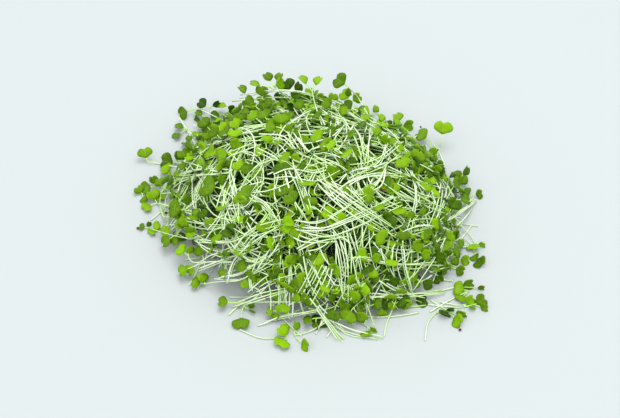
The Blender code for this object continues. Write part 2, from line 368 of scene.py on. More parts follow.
def aims():
    """The places that tufts are meant for: an even spread over the floor, then up the mound.

    Each spread follows a sunflower's spiral, and neighbours on it get unlike heights.
    """
    floor = []
    body = []
    for places, count in ((floor, FLOOR_TUFTS), (body, BODY_TUFTS)):
        for i in range(count):
            x, y = on_spiral(i, count, AIM_SPREAD, AIM_START)
            share = (AIM_STRIDE * i % count + 0.5) / count
            places.append(Vector((x, y, share**AIM_LIFT * mound_height(x, y))))
    return floor, sorted(body, key=lambda aim: aim.z)


def middle_seedling(rng):
    """The seedling under the middle of the mound, with one leaf pressed flat over the origin."""
    tip = Vector((*MIDDLE_TIP, STEM_RADIUS))
    line = [tip - Vector((STEP * i, 0.0, 0.0)) for i in range(MIDDLE_STEPS, -1, -1)]
    leaves = open_leaves(rng, line, True)
    for leaf, sideways in zip(leaves, (-1.0, 1.0)):
        leaf["along"] = Vector((MIDDLE_LEAN, sideways, 0.0)).normalized()
        leaf["stalk"] = STALK_LENGTH[0]
    return {"line": line, "corners": corners_of(line, len(line) // 2), "leaves": leaves}


def cross(rng, spot, rise, least_turn):
    """A seedling whose stem crosses another one at a spot, with its middle line a rise above."""
    knot = spot["at"] + up_at(spot["at"]) * rise
    heading = spot["way"] + rng.choice((-1, 1)) * rng.uniform(least_turn, math.pi - least_turn)
    return seedling_through(rng, knot, heading, False)


def seedling_through(rng, knot, heading, on_floor):
    """A seedling whose stem runs through the knot, with its leaves open at the stem's tip."""
    line, knot_at = lay_stem(rng, knot, heading, on_floor)
    leaves = open_leaves(rng, line, on_floor)
    return {"line": line, "corners": corners_of(line, knot_at), "leaves": leaves}


def spot_near(rng, aim, spots):
    """One of the few spots nearest to an aim, and not far above it."""
    lower = [spot for spot in spots if spot["at"].z < aim.z + SPOT_ABOVE]
    nearest = sorted(lower or spots, key=lambda spot: (spot["at"] - aim).length)
    return rng.choice(nearest[:NEAREST_SPOTS])


def grow_tufts():
    """Every tuft as a list of seedlings.

    A tuft's first stem lies on the floor or just over another tuft's stem. Its other stems each
    cross one of its own and press into it.
    """
    rng = random.Random(SEED)
    taken = {}
    spots = []
    tufts = []
    floor, body = aims()
    for number, aim in enumerate(floor + body):
        tuft = []
        if number == 0:
            tuft.append(keep(middle_seedling(rng), number, taken, spots))
        wanted = rng.randint(*SEEDLINGS_A_TUFT)
        for _ in range(TRIES):
            if len(tuft) == wanted:
                break
            resting_on = None
            if tuft:
                own = [spot for spot in spots if spot["tuft"] == number]
                seedling = cross(rng, rng.choice(own), FUSED_RISE, FUSED_TURN)
            elif number < len(floor):
                knot = Vector((aim.x, aim.y, STEM_RADIUS))
                knot.x += rng.uniform(-FLOOR_NUDGE, FLOOR_NUDGE)
                knot.y += rng.uniform(-FLOOR_NUDGE, FLOOR_NUDGE)
                seedling = seedling_through(rng, knot, rng.uniform(0.0, 2.0 * math.pi), True)
            else:
                nudge = Vector([rng.gauss(0.0, BODY_NUDGE) for _ in range(3)])
                spot = spot_near(rng, aim + nudge, spots)
                resting_on = spot["stem"]
                seedling = cross(rng, spot, REST_ROOM, RESTING_TURN)
            if is_clear(beads_of(seedling), number, resting_on, taken):
                tuft.append(keep(seedling, number, taken, spots))
        if tuft:
            tufts.append(tuft)
    return tufts


# The view: the camera looks along +Y and down, at the photograph's frame of 620 x 418
PHOTO_WIDTH = 620
PHOTO_HEIGHT = 418
SENSOR_WIDTH = 36.0
LENS_LENGTH = 85.0
EYE_DISTANCE = 0.88
EYE_ELEVATION = math.radians(48.0)
LOOK_AT = Vector((-0.0012, 0.0065, 0.0))
FORWARD = Vector((0.0, math.cos(EYE_ELEVATION), -math.sin(EYE_ELEVATION)))
UPWARD = Vector((0.0, math.sin(EYE_ELEVATION), math.cos(EYE_ELEVATION)))
RIGHTWARD = Vector((1.0, 0.0, 0.0))
EYE = LOOK_AT - FORWARD * EYE_DISTANCE
PIXEL = SENSOR_WIDTH / LENS_LENGTH / PHOTO_WIDTH
NEAREST_SIGHT = 0.72
SIGHT_STEP = 0.0012
SIGHT_STEPS = 260
BACK_LIMIT = 0.088

# The masters: a stem with its rings, a leaf stalk and a leaf blade that is one unit wide. A
# stalk bends by shares of its length, and its plan goes on where a stem's ends
STEM_RINGS = 13
STEM_ROUND = 6
STALK_RINGS = 4
STALK_ROUND = 5
BLADE_ROUND = 16
BLADE_WALL = 0.034
FINE_STEM_RADIUS = (0.00029, 0.00050)
STEM_TAPER = 0.72
STALK_RADIUS = 0.00030
STALK_FLARE = 1.15
STALK_BEND = (0.2, 0.35)
STALK_MARKS = (0.0, 0.33, 0.67, 1.0)
STALK_PLAN = (0.85, 0.3)
BLADE_OVERLAP = 0.04
FLOOR_GAP = 0.00012
FLOOR_SQUASH = 0.4
LEAF_STANDS = 0.22
LEAST_STALK = 0.0006
PLACED_ARCH = 0.7 * BLADE_ARCH
FULL_TURN = 6.3

# A blade starts as a squeezed circle. Points of its edge are picked by how far aside and ahead
# they are and pushed ahead, its inside is smoothed, and it is shifted so that its base is at 0
BLADE_SQUEEZE = 0.62
BLADE_SMOOTHING = 6
BLADE_SHIFT = 0.35
BLADE_EDGE = (
    (lambda aside, ahead: aside > 0.12 and ahead > 0.2, 0.035),  # its two lobes
    (lambda aside, ahead: aside < 0.02 and ahead > 0.27, -0.13),  # the notch between them
    (lambda aside, ahead: aside > 0.12 and ahead < -0.17, 0.02),  # the shoulders of its base
    (lambda aside, ahead: aside < 0.02 and ahead < -0.27, -0.04),  # where it joins its stalk
)

# How a blade is bent: shares of its width, and how many radians its edge's wave has along it
BLADE_CURL = (-0.02, 0.14)
BLADE_CUP = (-0.1, 0.35)
BLADE_WAVE = (0.0, 0.05)
BLADE_WAVES = 4.0
FOLD_ROUNDING = 0.08

# Tones run from 0, pale, to 1, deep green. A tone is a draw to a power, times its most, and it
# rises with painted shade by the depth in the mound: full at the full-shade depth, and fading out
# over the fade width at the foot
LEAF_TONE = 0.9
LEAF_TONE_POWER = 1.2
# How much painted shade darkens a leaf's tone, deep in the mound
LEAF_PAINTED_SHADE = 0.8
LEAF_TONE_DRIFT = 0.12
SEEDLING_STEM_TONE = 0.4
SHEAF_TONE = 0.5
SHEAF_TONE_POWER = 1.3
STRAND_TONE = 0.7
STRAND_TONE_POWER = 1.2
# Painted shade: the depth below the surface where it is full, how strongly it darkens a stem's
# tone, and its fade at the foot
FULL_SHADE_DEPTH = 0.021
STEM_PAINTED_SHADE = 1.6
SHADE_FOOT_FADE = 0.3

# A piece's materials, by number
LEAF_FINISH = 0
STEM_FINISH = 1

# The seeds of the random draws, one for each piece or group of pieces
TUFT_SEED = 11
SPRIG_SEED = 23
SHEAF_SEED = 5
STRAND_SEED = 17
FILL_SEED = 7
HULL_SEED = 3

# Sprigs stand where the photograph shows them. A row has the stem's pixels from its cut end to
# its fork, how far those two ends lie over the mound in mm, and each leaf: the pixel of its
# blade's middle, its width in pixels, and its turn about its midrib in degrees
SPRIGS = (
    # along the top
    (((372, 123), (359, 99), (347, 86)), 0, 11, (340, 81, 18, 5), (349, 92, 13, 66)),
    (((322, 125), (316, 108), (312, 91)), 0, 8, (303, 80, 16, 62), (318, 81, 15, -58)),
    (((300, 118), (288, 100), (275, 88)), 0, 8, (268, 77, 15, 50), (279, 77, 14, -55)),
    (((300, 108), (284, 94), (268, 87)), 0, 4, (255, 84, 16, 66), (280, 84, 14, 30)),
    (((290, 112), (266, 104), (248, 96)), 0, 3, (242, 90, 15, 60), (249, 102, 15, 35)),
    (((330, 120), (309, 100), (292, 94)), 0, 4, (287, 85, 17, 20), (298, 87, 14, 50)),
    (((250, 128), (223, 115), (209, 108)), 2, 4, (202, 104, 14, 35), (216, 104, 13, 68)),
    (((226, 122), (199, 109), (192, 110)), 2, 3, (183, 113, 14, 10), (197, 119, 13, 62)),
    (((215, 150), (198, 136), (187, 129)), 1, 2, (179, 127, 14, 66), (177, 136, 13, 60)),
    (((268, 122), (244, 112), (229, 106)), 1, 3, (222, 106, 14, 64), (228, 116, 13, 45)),
    (((300, 125), (283, 112), (272, 106)), 1, 3, (266, 102, 17, 20), (284, 100, 16, 40)),
    (((345, 130), (325, 112), (313, 104)), 1, 3, (304, 103, 15, 30), (321, 99, 14, 30)),
    (((372, 132), (362, 115), (352, 101)), 1, 4, (345, 95, 15, 20), (355, 99, 14, 40)),
    (((388, 142), (368, 124), (354, 112)), 1, 3, (347, 106, 16, 30), (345, 121, 16, 35)),
    (((400, 140), (386, 124), (373, 114)), 1, 3, (365, 112, 14, 25), (375, 109, 12, 55)),
    (((285, 120), (272, 108), (262, 98)), 1, 3, (262, 91, 17, 40), (250, 101, 14, 30)),
    (((300, 125), (284, 112), (274, 104)), 1, 3, (266, 102, 15, 25), (278, 97, 13, 45)),
    (((310, 125), (302, 112), (295, 103)), 1, 3, (287, 103, 14, 35), (300, 97, 13, 45)),
    (((325, 125), (318, 112), (312, 103)), 1, 3, (303, 106, 15, 35), (309, 92, 13, 45)),
    (((345, 125), (338, 112), (331, 104)), 1, 3, (323, 105, 15, 35), (333, 97, 12, 30)),
    (((250, 130), (236, 120), (226, 114)), 1, 3, (215, 116, 14, 50), (232, 110, 13, 35)),
    (((240, 128), (218, 122), (206, 118)), 1, 2, (199, 113, 12, 60), (208, 127, 16, 30)),
    (((270, 130), (258, 120), (250, 114)), 1, 2, (243, 118, 15, 40), (255, 108, 14, 35)),
    # down the right shoulder
    (((425, 150), (412, 135), (402, 126)), 1, 3, (398, 117, 13, 30), (406, 126, 16, 35)),
    (((425, 172), (436, 158), (440, 147)), 1, 8, (443, 128, 20, 4)),
    (((445, 166), (438, 150), (430, 141)), 1, 3, (422, 135, 16, 20), (432, 152, 14, 45)),
    (((440, 190), (432, 174), (427, 164)), 1, 2, (419, 158, 16, 35), (436, 170, 16, 40)),
    (((425, 190), (412, 178), (407, 172)), 1, 3, (403, 163, 17, 15), (413, 179, 15, 66)),
    (((440, 215), (448, 196), (455, 184)), 1, 3, (460, 178, 18, 5), (466, 171, 15, 60)),
    (((450, 205), (462, 198), (470, 196)), 0, 2, (467, 193, 12, 30), (479, 194, 11, 20)),
    (((430, 228), (444, 217), (449, 212)), 1, 2, (454, 204, 19, 30), (442, 203, 16, 45)),
    (((416, 214), (404, 200), (399, 196)), 1, 2, (388, 186, 19, 35), (397, 203, 16, 40)),
    (((398, 170), (385, 150), (379, 142)), 0, 1, (376, 132, 15, 50), (384, 140, 15, 45)),
    # the left flank
    (((212, 172), (190, 163), (175, 163)), 0, 3, (167, 162, 19, 8), (178, 156, 13, 50)),
    (((186, 168), (164, 165), (147, 161)), 0, 3, (145, 153, 16, 5)),
    (((185, 205), (166, 190), (155, 186)), 0, 1, (146, 188, 15, 20), (153, 180, 12, 45)),
    (((178, 192), (156, 194), (142, 194)), 0, 1, (139, 190, 12, 20), (144, 199, 11, 20)),
    (((196, 216), (172, 207), (157, 203)), 0, 1, (153, 195, 16, 30), (147, 207, 14, 45)),
    (((215, 222), (194, 212), (183, 210)), 0, 2, (175, 209, 19, 10), (188, 200, 16, 45)),
    (((250, 215), (231, 196), (220, 188)), 1, 3, (209, 186, 21, 20), (222, 180, 16, 50)),
    (((280, 222), (262, 206), (252, 200)), 1, 3, (245, 193, 19, 10), (257, 206, 15, 50)),
    (((262, 196), (250, 182), (243, 177)), 1, 2, (238, 166, 15, 35), (257, 176, 16, 40)),
    (((250, 176), (237, 160), (229, 152)), 0, 2, (222, 155, 18, 45), (236, 145, 18, 30)),
    (((236, 150), (220, 138), (212, 132)), 0, 2, (204, 123, 16, 25), (222, 130, 16, 45)),
    (((205, 185), (192, 168), (188, 162)), 0, 1, (184, 154, 16, 35), (196, 153, 14, 50)),
    (((262, 150), (248, 136), (240, 130)), 0, 2, (235, 124, 16, 40), (231, 138, 15, 45)),
    # the middle
    (((288, 165), (272, 152), (266, 148)), 0, 2, (261, 151, 18, 55), (267, 139, 12, 20)),
    (((300, 150), (290, 135), (281, 128)), 0, 2, (271, 126, 16, 25), (281, 119, 17, 20)),
    (((340, 165), (330, 150), (324, 142)), 0, 0, (317, 137, 17, 25), (323, 150, 16, 35)),
    (((312, 185), (300, 170), (292, 164)), 0, 1, (285, 159, 16, 20), (293, 163, 16, 30)),
    (((310, 226), (303, 213), (297, 205)), 2, 4, (291, 198, 18, 5), (298, 212, 13, 62)),
    (((300, 180), (306, 196), (309, 207)), 2, 4, (310, 203, 15, 0), (316, 212, 12, 60)),
    (((330, 195), (322, 182), (318, 176)), 1, 2, (331, 172, 17, 30), (314, 180, 16, 35)),
    (((368, 190), (360, 175), (355, 168)), 1, 2, (352, 163, 16, 40), (345, 174, 16, 30)),
    (((316, 240), (304, 230), (295, 226)), 2, 5, (288, 225, 19, 5)),
    (((350, 230), (340, 222), (333, 217)), 2, 3, (328, 213, 17, 35), (338, 219, 17, 20)),
    (((258, 246), (262, 238), (266, 234)), 1, 3, (264, 227, 18, 20), (271, 243, 14, 40)),
    (((300, 262), (300, 250), (297, 241)), 1, 3, (297, 233, 17, 20), (303, 228, 14, 45)),
    (((248, 250), (240, 240), (236, 236)), 1, 2, (229, 231, 18, 25), (249, 222, 18, 30)),
    (((355, 262), (366, 246), (374, 234)), 2, 4, (372, 228, 12, 45), (381, 237, 18, 10)),
    (((412, 290), (405, 262), (403, 247)), 2, 4, (403, 236, 15, 10), (399, 243, 12, 55)),
    # the right flank
    (((398, 262), (408, 254), (411, 251)), 1, 2, (417, 246, 18, 40), (426, 254, 16, 45)),
    (((414, 262), (426, 255), (431, 253)), 1, 2, (440, 256, 19, 50), (436, 248, 15, 55)),
    (((430, 272), (444, 268), (449, 267)), 1, 2, (454, 261, 15, 50), (460, 270, 14, 35)),
    (((425, 246), (440, 240), (444, 239)), 1, 2, (450, 236, 14, 30), (435, 238, 15, 30)),
    (((453, 215), (467, 232), (475, 243)), 1, 1, (473, 247, 15, 45), (482, 245, 11, 50)),
    (((450, 222), (466, 240), (475, 253)), 0, 1, (480, 262, 16, 25), (475, 257, 12, 50)),
    (((432, 275), (425, 280), (420, 281)), 1, 2, (428, 283, 17, 45), (413, 277, 16, 35)),
    # the front
    (((330, 290), (345, 265), (352, 258)), 1, 2, (362, 255, 17, 25), (376, 258, 15, 45)),
    (((350, 300), (360, 288), (366, 282)), 1, 2, (365, 284, 18, 20), (371, 273, 15, 15)),
    (((372, 300), (380, 285), (383, 279)), 1, 2, (387, 270, 16, 30), (394, 281, 15, 45)),
    (((300, 290), (296, 275), (295, 268)), 2, 3, (293, 260, 16, 40), (303, 260, 16, 40)),
    (((335, 285), (326, 272), (324, 268)), 2, 3, (319, 260, 18, 10), (332, 268, 15, 45)),
    (((268, 275), (256, 270), (250, 268)), 1, 2, (242, 266, 16, 40), (249, 274, 15, 50)),
    (((318, 285), (303, 285), (298, 286)), 0, 1, (295, 297, 16, 45), (304, 296, 16, 50)),
    (((380, 280), (362, 300), (353, 308)), 0, 2, (348, 316, 19, 5), (361, 317, 19, 50)),
    (((330, 270), (345, 284), (350, 287)), 0, 1, (352, 296, 21, 35), (336, 289, 16, 50)),
    (((345, 290), (338, 302), (336, 306)), 0, 1, (333, 315, 17, 30), (345, 308, 16, 35)),
    (((352, 288), (362, 318), (368, 328)), 0, 0, (367, 334, 14, 35), (373, 330, 12, 60)),
    (((350, 320), (325, 318), (316, 318)), 0, 0, (308, 320, 14, 60), (316, 326, 13, 62)),
    (((262, 298), (259, 290), (252, 287)), 0, 1, (246, 283, 15, 25), (256, 279, 12, 50)),
    (((300, 302), (262, 302), (240, 303)), 0, 0, (223, 302, 15, 48), (251, 304, 12, 45)),
    (((275, 278), (255, 298), (243, 306)), 0, 0, (241, 323, 19, 15), (252, 311, 12, 66)),
    (((300, 300), (282, 308), (277, 311)), 0, 0, (270, 311, 11, 40), (276, 316, 11, 40)),
    (((240, 330), (262, 339), (288, 337)), 0, 0, (283, 331, 18, 45), (282, 343, 18, 25)),
    (((330, 320), (305, 334), (294, 336)), 0, 0, (305, 345, 17, 40), (296, 326, 14, 58)),
    # the left foot
    (((225, 226), (192, 239), (178, 234)), 0, 0, (166, 241, 15, 40), (174, 240, 14, 45)),
    (((223, 226), (190, 238), (147, 228)), 1, 0, (142, 227, 9, 40), (148, 225, 9, 60)),
    (((206, 262), (192, 262), (188, 255)), 0, 0, (181, 250, 14, 20), (190, 250, 12, 50)),
    (((232, 262), (208, 262), (195, 266)), 0, 0, (183, 271, 15, 40), (191, 270, 15, 40)),
    (((240, 280), (215, 282), (205, 284)), 0, 0, (196, 283, 14, 40), (203, 278, 15, 50)),
    (((205, 240), (192, 232), (188, 230)), 0, 1, (180, 225, 15, 45), (186, 222, 18, 30)),
    (((190, 225), (170, 225), (163, 227)), 0, 0, (157, 226, 12, 45), (152, 232, 11, 45)),
    # the right foot
    (((425, 341), (428, 323), (437, 313)), 0, 0, (444, 314, 18, 58), (450, 310, 14, 62)),
    (((430, 300), (442, 308), (449, 313)), 0, 0, (461, 314, 17, 55), (457, 321, 18, 30)),
    (((430, 312), (452, 299), (469, 291)), 0, 1, (459, 289, 17, 20), (461, 298, 14, 45)),
    (((436, 292), (452, 288), (460, 287)), 0, 1, (468, 285, 18, 40), (481, 288, 11, 50)),
    (((440, 302), (456, 306), (464, 306)), 0, 0, (470, 301, 16, 30), (472, 308, 11, 66)),
    (((428, 305), (458, 308), (474, 305)), 0, 0, (481, 301, 17, 15), (484, 308, 13, 40)),
    (((380, 290), (398, 296), (401, 299)), 0, 0, (406, 304, 16, 40), (392, 306, 12, 50)),
)

# Sheaves of stems that lie side by side: their middle line's pixels, how many stems, how far
# they spread at either end in pixels, and how far both ends lie over the mound in mm
SHEAVES = (
    (((238, 98), (272, 92), (305, 93), (338, 108), (368, 124)), 4, 8, 9, 2, 3),
    (((290, 130), (308, 112), (336, 105)), 3, 12, 8, 2, 3),
    (((338, 106), (362, 118), (388, 134), (408, 154)), 4, 8, 14, 3, 2),
    (((336, 108), (335, 128), (333, 150)), 3, 8, 10, 2, 2),
    (((349, 122), (356, 138), (364, 158)), 4, 10, 8, 2, 3),
    (((370, 124), (369, 142), (366, 160)), 3, 12, 6, 2, 3),
    (((352, 118), (345, 138), (336, 152)), 2, 12, 10, 2, 2),
    (((387, 142), (384, 152), (378, 164), (362, 174)), 3, 8, 8, 3, 3),
    (((408, 136), (392, 150), (372, 163), (352, 168)), 4, 12, 8, 3, 3),
    (((200, 126), (230, 120), (262, 112)), 3, 10, 8, 1, 2),
    (((210, 150), (232, 142), (262, 130)), 5, 16, 12, 1, 2),
    (((228, 133), (250, 126), (276, 122)), 4, 14, 8, 1, 2),
    (((282, 108), (292, 130), (301, 154)), 2, 6, 8, 3, 2),
    (((184, 124), (194, 145), (210, 166)), 2, 6, 6, 2, 2),
    (((262, 136), (282, 140), (296, 155), (322, 166)), 3, 8, 6, 2, 3),
    (((296, 136), (306, 152), (330, 163)), 2, 6, 6, 2, 3),
    (((222, 172), (198, 173), (176, 182), (165, 198), (169, 216)), 2, 5, 5, 2, 1),
    (((222, 173), (200, 171), (182, 176)), 3, 6, 5, 2, 2),
    (((232, 174), (220, 192), (216, 214)), 2, 6, 8, 2, 2),
    (((232, 176), (234, 198), (238, 224)), 3, 6, 8, 3, 3),
    (((196, 182), (200, 204), (214, 220), (240, 224)), 3, 10, 7, 2, 2),
    (((262, 182), (246, 190), (236, 206)), 2, 6, 6, 2, 2),
    (((250, 196), (266, 206), (276, 224)), 5, 10, 8, 3, 3),
    (((224, 208), (242, 200), (258, 180)), 2, 8, 8, 2, 2),
    (((289, 170), (296, 190), (306, 214)), 5, 13, 5, 4, 5),
    (((278, 180), (277, 196), (284, 212)), 3, 9, 6, 3, 3),
    (((262, 152), (274, 160), (280, 180)), 2, 6, 8, 2, 2),
    (((270, 176), (290, 170), (316, 174), (338, 166)), 3, 7, 6, 3, 3),
    (((314, 178), (308, 192), (316, 202), (336, 214)), 4, 10, 8, 3, 4),
    (((320, 182), (338, 196), (362, 212), (392, 230)), 5, 8, 12, 3, 3),
    (((337, 186), (352, 196), (370, 212)), 4, 8, 8, 3, 3),
    (((300, 228), (324, 231), (350, 222), (396, 202)), 4, 8, 7, 4, 3),
    (((296, 222), (318, 226), (342, 216), (362, 204)), 3, 8, 8, 4, 3),
    (((282, 226), (304, 238), (330, 240)), 3, 8, 6, 4, 4),
    (((352, 174), (374, 166), (398, 160)), 3, 10, 8, 3, 3),
    (((336, 192), (352, 178), (376, 172), (404, 176)), 4, 8, 8, 3, 3),
    (((386, 166), (378, 182), (362, 196)), 3, 6, 8, 3, 3),
    (((412, 172), (419, 196), (410, 228)), 2, 6, 8, 3, 3),
    (((400, 186), (424, 200), (450, 206)), 3, 10, 12, 2, 2),
    (((470, 206), (452, 220), (424, 232), (400, 236)), 4, 8, 12, 1, 2),
    (((444, 182), (436, 204), (430, 226)), 3, 10, 8, 2, 2),
    (((446, 232), (430, 258), (415, 283)), 2, 6, 6, 3, 3),
    (((403, 248), (408, 270), (416, 294)), 3, 4, 6, 4, 3),
    (((366, 258), (390, 266), (436, 264)), 2, 6, 8, 3, 3),
    (((398, 232), (420, 224), (448, 228), (456, 240)), 3, 10, 8, 2, 2),
    (((380, 280), (398, 290), (420, 298)), 2, 6, 4, 3, 2),
    (((366, 296), (400, 296), (452, 296)), 3, 8, 6, 0, 0),
    (((350, 228), (356, 254), (365, 280)), 3, 8, 8, 3, 3),
    (((340, 240), (342, 268), (345, 302)), 4, 14, 10, 3, 2),
    (((358, 284), (364, 302), (369, 326)), 2, 5, 5, 2, 1),
    (((376, 244), (384, 258), (388, 270)), 3, 10, 8, 3, 3),
    (((334, 232), (346, 246), (350, 270)), 3, 10, 8, 3, 3),
    (((198, 240), (212, 245), (236, 245), (258, 232), (272, 214)), 5, 6, 8, 1, 3),
    (((186, 221), (204, 226), (230, 222)), 3, 8, 8, 1, 2),
    (((222, 279), (240, 279), (256, 271), (276, 258)), 4, 5, 8, 1, 3),
    (((229, 277), (234, 262), (248, 246)), 3, 5, 8, 1, 2),
    (((252, 291), (251, 276), (256, 258)), 2, 4, 6, 1, 3),
    (((284, 304), (284, 284), (288, 254)), 3, 12, 8, 1, 3),
    (((291, 325), (291, 296), (289, 262)), 2, 5, 6, 0, 3),
    (((276, 311), (276, 290), (270, 268)), 3, 10, 8, 1, 3),
    (((254, 291), (270, 282), (292, 273)), 3, 4, 7, 1, 3),
    (((262, 324), (286, 317), (318, 309)), 3, 6, 6, 0, 1),
    (((301, 298), (309, 280), (320, 266)), 4, 10, 8, 2, 3),
    (((306, 262), (312, 282), (324, 302)), 4, 12, 14, 3, 2),
    (((315, 304), (328, 318), (342, 336)), 4, 6, 10, 2, 0),
    (((330, 262), (328, 282), (318, 302)), 3, 10, 12, 3, 2),
    (((318, 330), (323, 322), (328, 312)), 2, 4, 4, 0, 1),
    (((330, 322), (352, 336), (378, 341)), 3, 6, 8, 0, 0),
    (((384, 334), (385, 322), (390, 306)), 1, 2, 2, 0, 1),
    (((205, 262), (222, 256), (248, 250)), 3, 8, 8, 0, 2),
    (((196, 270), (210, 262), (232, 254)), 2, 8, 8, 0, 2),
    (((240, 304), (262, 298), (290, 292)), 3, 8, 8, 0, 1),
    (((440, 170), (426, 160), (404, 150)), 3, 10, 10, 2, 2),
    (((300, 250), (318, 244), (340, 240)), 3, 8, 8, 4, 4),
    (((240, 250), (256, 236), (282, 228)), 4, 8, 8, 3, 4),
    (((262, 262), (274, 246), (280, 232)), 3, 10, 8, 3, 4),
    (((205, 236), (222, 214), (232, 186)), 2, 8, 8, 1, 2),
)

# How far a sheaf's stem strays: its place in shares of the spread, its bow, its drift and its
# ends in pixels, and its rise in mm
SHEAF_STRAY = 0.2
SHEAF_BOW = 4.0
SHEAF_DRIFT = 5.0
SHEAF_ENDS = 9.0
SHEAF_RISE = (-1.2, 1.8)

# Seed hulls: their pixels and how far they lie over the mound in mm
HULLS = (
    (460, 330, 0),
    (138, 228, 0),
    (421, 127, 4),
    (437, 150, 3),
    (330, 119, 3),
    (166, 213, 2),
    (307, 216, 5),
    (267, 298, 1),
    (262, 106, 3),
    (455, 226, 2),
    (384, 190, 3),
)
HULL_RADIUS = 0.0009
HULL_SIZES = (0.85, 1.2)
HULL_TILT = 1.2
HULL_CUT = (0.0, 0.0, 0.35)
HULL_CUT_FACES = (0.2, 0.0, 1.0)
HULL_SQUEEZE = (1.0, 0.85, 0.9)
HULL_WRINKLE = 0.14
HULL_WALL = 0.18
HULL_DARK = 0.35

# The fill: shares are of the mound's height, bends are in radians a metre. Each seedling is the
# least crowded of a few choices
FILL_GROUPS = 6
FILL_CHOICES = 3
FILL_LEAF_SIZE = 0.79
FILL_TOP = 0.97

# Its sheaves: how many there are and how many seedlings each has, and how those go astray
FILL_SHEAVES = 86
FILL_SHEAF = (4, 7)
FILL_SPREAD = 0.93
FILL_SHARE = (0.4, 0.9)
FILL_SHARE_DRIFT = 0.06
FILL_LEAST_SHARE = 0.1
FILL_RISE = (-0.1, 0.3)
FILL_GAP = 0.0023
FILL_MIDDLE = 2.0
FILL_ASIDE = 0.001
FILL_AHEAD = 0.006
FILL_FAN = 0.14
FILL_BEND_DRIFT = 3.0

# Its singles: a stem's knot is a share of its length behind the place that it is meant for
FILL_SINGLES = 90
SINGLE_SPREAD = 0.97
SINGLE_TURNED = 0.37
SINGLE_ASTRAY = 0.004
SINGLE_BACK = 0.4
SINGLE_GOAL = (0.5, FILL_TOP)

# Its heads, whose leaves are at the surface or at the crest, and its bed, deep in the mound
FILL_HEADS = 150
FILL_CREST = 80
FILL_BED = 150
HEAD_LENGTH = (0.030, 0.048)
HEAD_SHARE = (0.45, 0.8)
HEAD_GOAL = (0.94, 1.12)
CREST_GOAL = (1.05, 1.4)
CREST_MIDDLE = (-0.006, 0.048)
CREST_SPREAD = (0.036, 0.014)
BED_SHARE = (0.2, 0.6)
BED_GOAL = (0.35, 0.85)

# Where it may be: how far it stands proud of the crest, and what it leaves bare of the foot
CREST_PROUD = 0.008
FRONT_BARE = 0.1
FRONT_LEFT_BARE = 0.16
FRONT_LEFT = math.radians(-135.0)

# Its room: a leaf's beads are at shares of its length and its width, and need more of it
LOOSE_BEADS = ((0.15, 0.0), (0.5, -0.3), (0.5, 0.0), (0.5, 0.3), (0.9, -0.2))
CROWD_ROOM = 0.0013
LEAF_CROWDS = 1.3
OUT_OF_MOUND = 100

# Loose stems on the surface, in small sheaves, whose ends dip into the mound
STRAND_SHEAVES = 76
STRAND_SHEAF = (2, 5)
STRAND_SHARE = (0.95, 1.08)
STRAND_DIP = (2.0, 5.0)
STRAND_LENGTH = (0.064, 0.1)
STRAND_BEND = (18.0, 52.0)
STRAND_BEND_DRIFT = 9.0
STRAND_SPREAD = 0.95
STRAND_MIDDLE = 1.5
STRAND_FAN = 0.3

# The leaf's look: its midrib, its side veins, and how far the colours of both and of its
# underside come in
MIDRIB_SHARPNESS = 38.0
VEIN_SLANT = 1.7
VEIN_WAVES = 24.0
VEIN_CREST = 0.86
VEIN_SHARPNESS = 5.0
VEIN_SHARE = 0.18
VEIN_HEIGHT = -0.6
UNDER_SHARE = 0.4
# The stem's look: how its deep green, painted shade deep in the mound and some stems' own darker
# tone, comes in by tone, and its leaf green along it
DEEP_FROM = 0.4
DEEP_GAIN = 1.7
DEEP_POWER = 1.7
GREEN_SHARE = 0.7
GREEN_POWER = 2.6
DULL = 0.1

# The lights, which look at the heap: name, place, side and share of the power
SKY_COLOUR = (0.95, 0.985, 1.0)
LIGHTS = (
    ("soft_light_top", (0.12, 0.1, 1.45), 0.9, 1.0),
    ("soft_light_side", (-0.75, -0.9, 1.3), 1.4, 0.3),
)

TUFT_BODY = "root"


# What shows at a pixel


def sight_line(px, py):
    """The direction from the eye through a pixel, one unit deep."""
    across = (px - PHOTO_WIDTH / 2.0) * PIXEL
    down = (py - PHOTO_HEIGHT / 2.0) * PIXEL
    return FORWARD + RIGHTWARD * across - UPWARD * down


def over_mound(px, py, lift):
    """The point at a pixel that is a lift over the mound, or the nearest to that on its line."""
    way = sight_line(px, py)
    nearest = None
    for i in range(SIGHT_STEPS):
        at = EYE + way * (NEAREST_SIGHT + SIGHT_STEP * i)
        if at.y > BACK_LIMIT:
            break
        gap = at.z - mound_height(at.x, at.y) - lift
        if nearest is None or gap < nearest[0]:
            nearest = (gap, at)
        if gap <= 0.0:
            return at
    return nearest[1]


def smooth_line(corners):
    """A smooth line through its corners, with a point about every step."""
    ends = [corners[0] * 2.0 - corners[1]] + corners + [corners[-1] * 2.0 - corners[-2]]
    line = [corners[0].copy()]
    for before, near, far, after in zip(ends, ends[1:], ends[2:], ends[3:]):
        count = max(2, round((far - near).length / STEP))
        for i in range(1, count + 1):
            t = i / count
            line.append(
                near
                + (far - before) * (0.5 * t)
                + (before * 2.0 - near * 5.0 + far * 4.0 - after) * (0.5 * t * t)
                + ((near - far) * 3.0 + after - before) * (0.5 * t * t * t)
            )
    return line


def line_over_mound(pixels, from_lift, to_lift):
    """A stem's line over the mound through pixels, with its lift changing from end to end."""
    corners = []
    for i, (px, py) in enumerate(pixels):
        lift = from_lift + (to_lift - from_lift) * i / (len(pixels) - 1)
        corners.append(over_mound(px, py, STEM_RADIUS + lift * MILLIMETRE))
    line = smooth_line(corners)
    for point in line:
        point.z = max(point.z, STEM_RADIUS)
    return line


# Seedlings that are not in the tufts


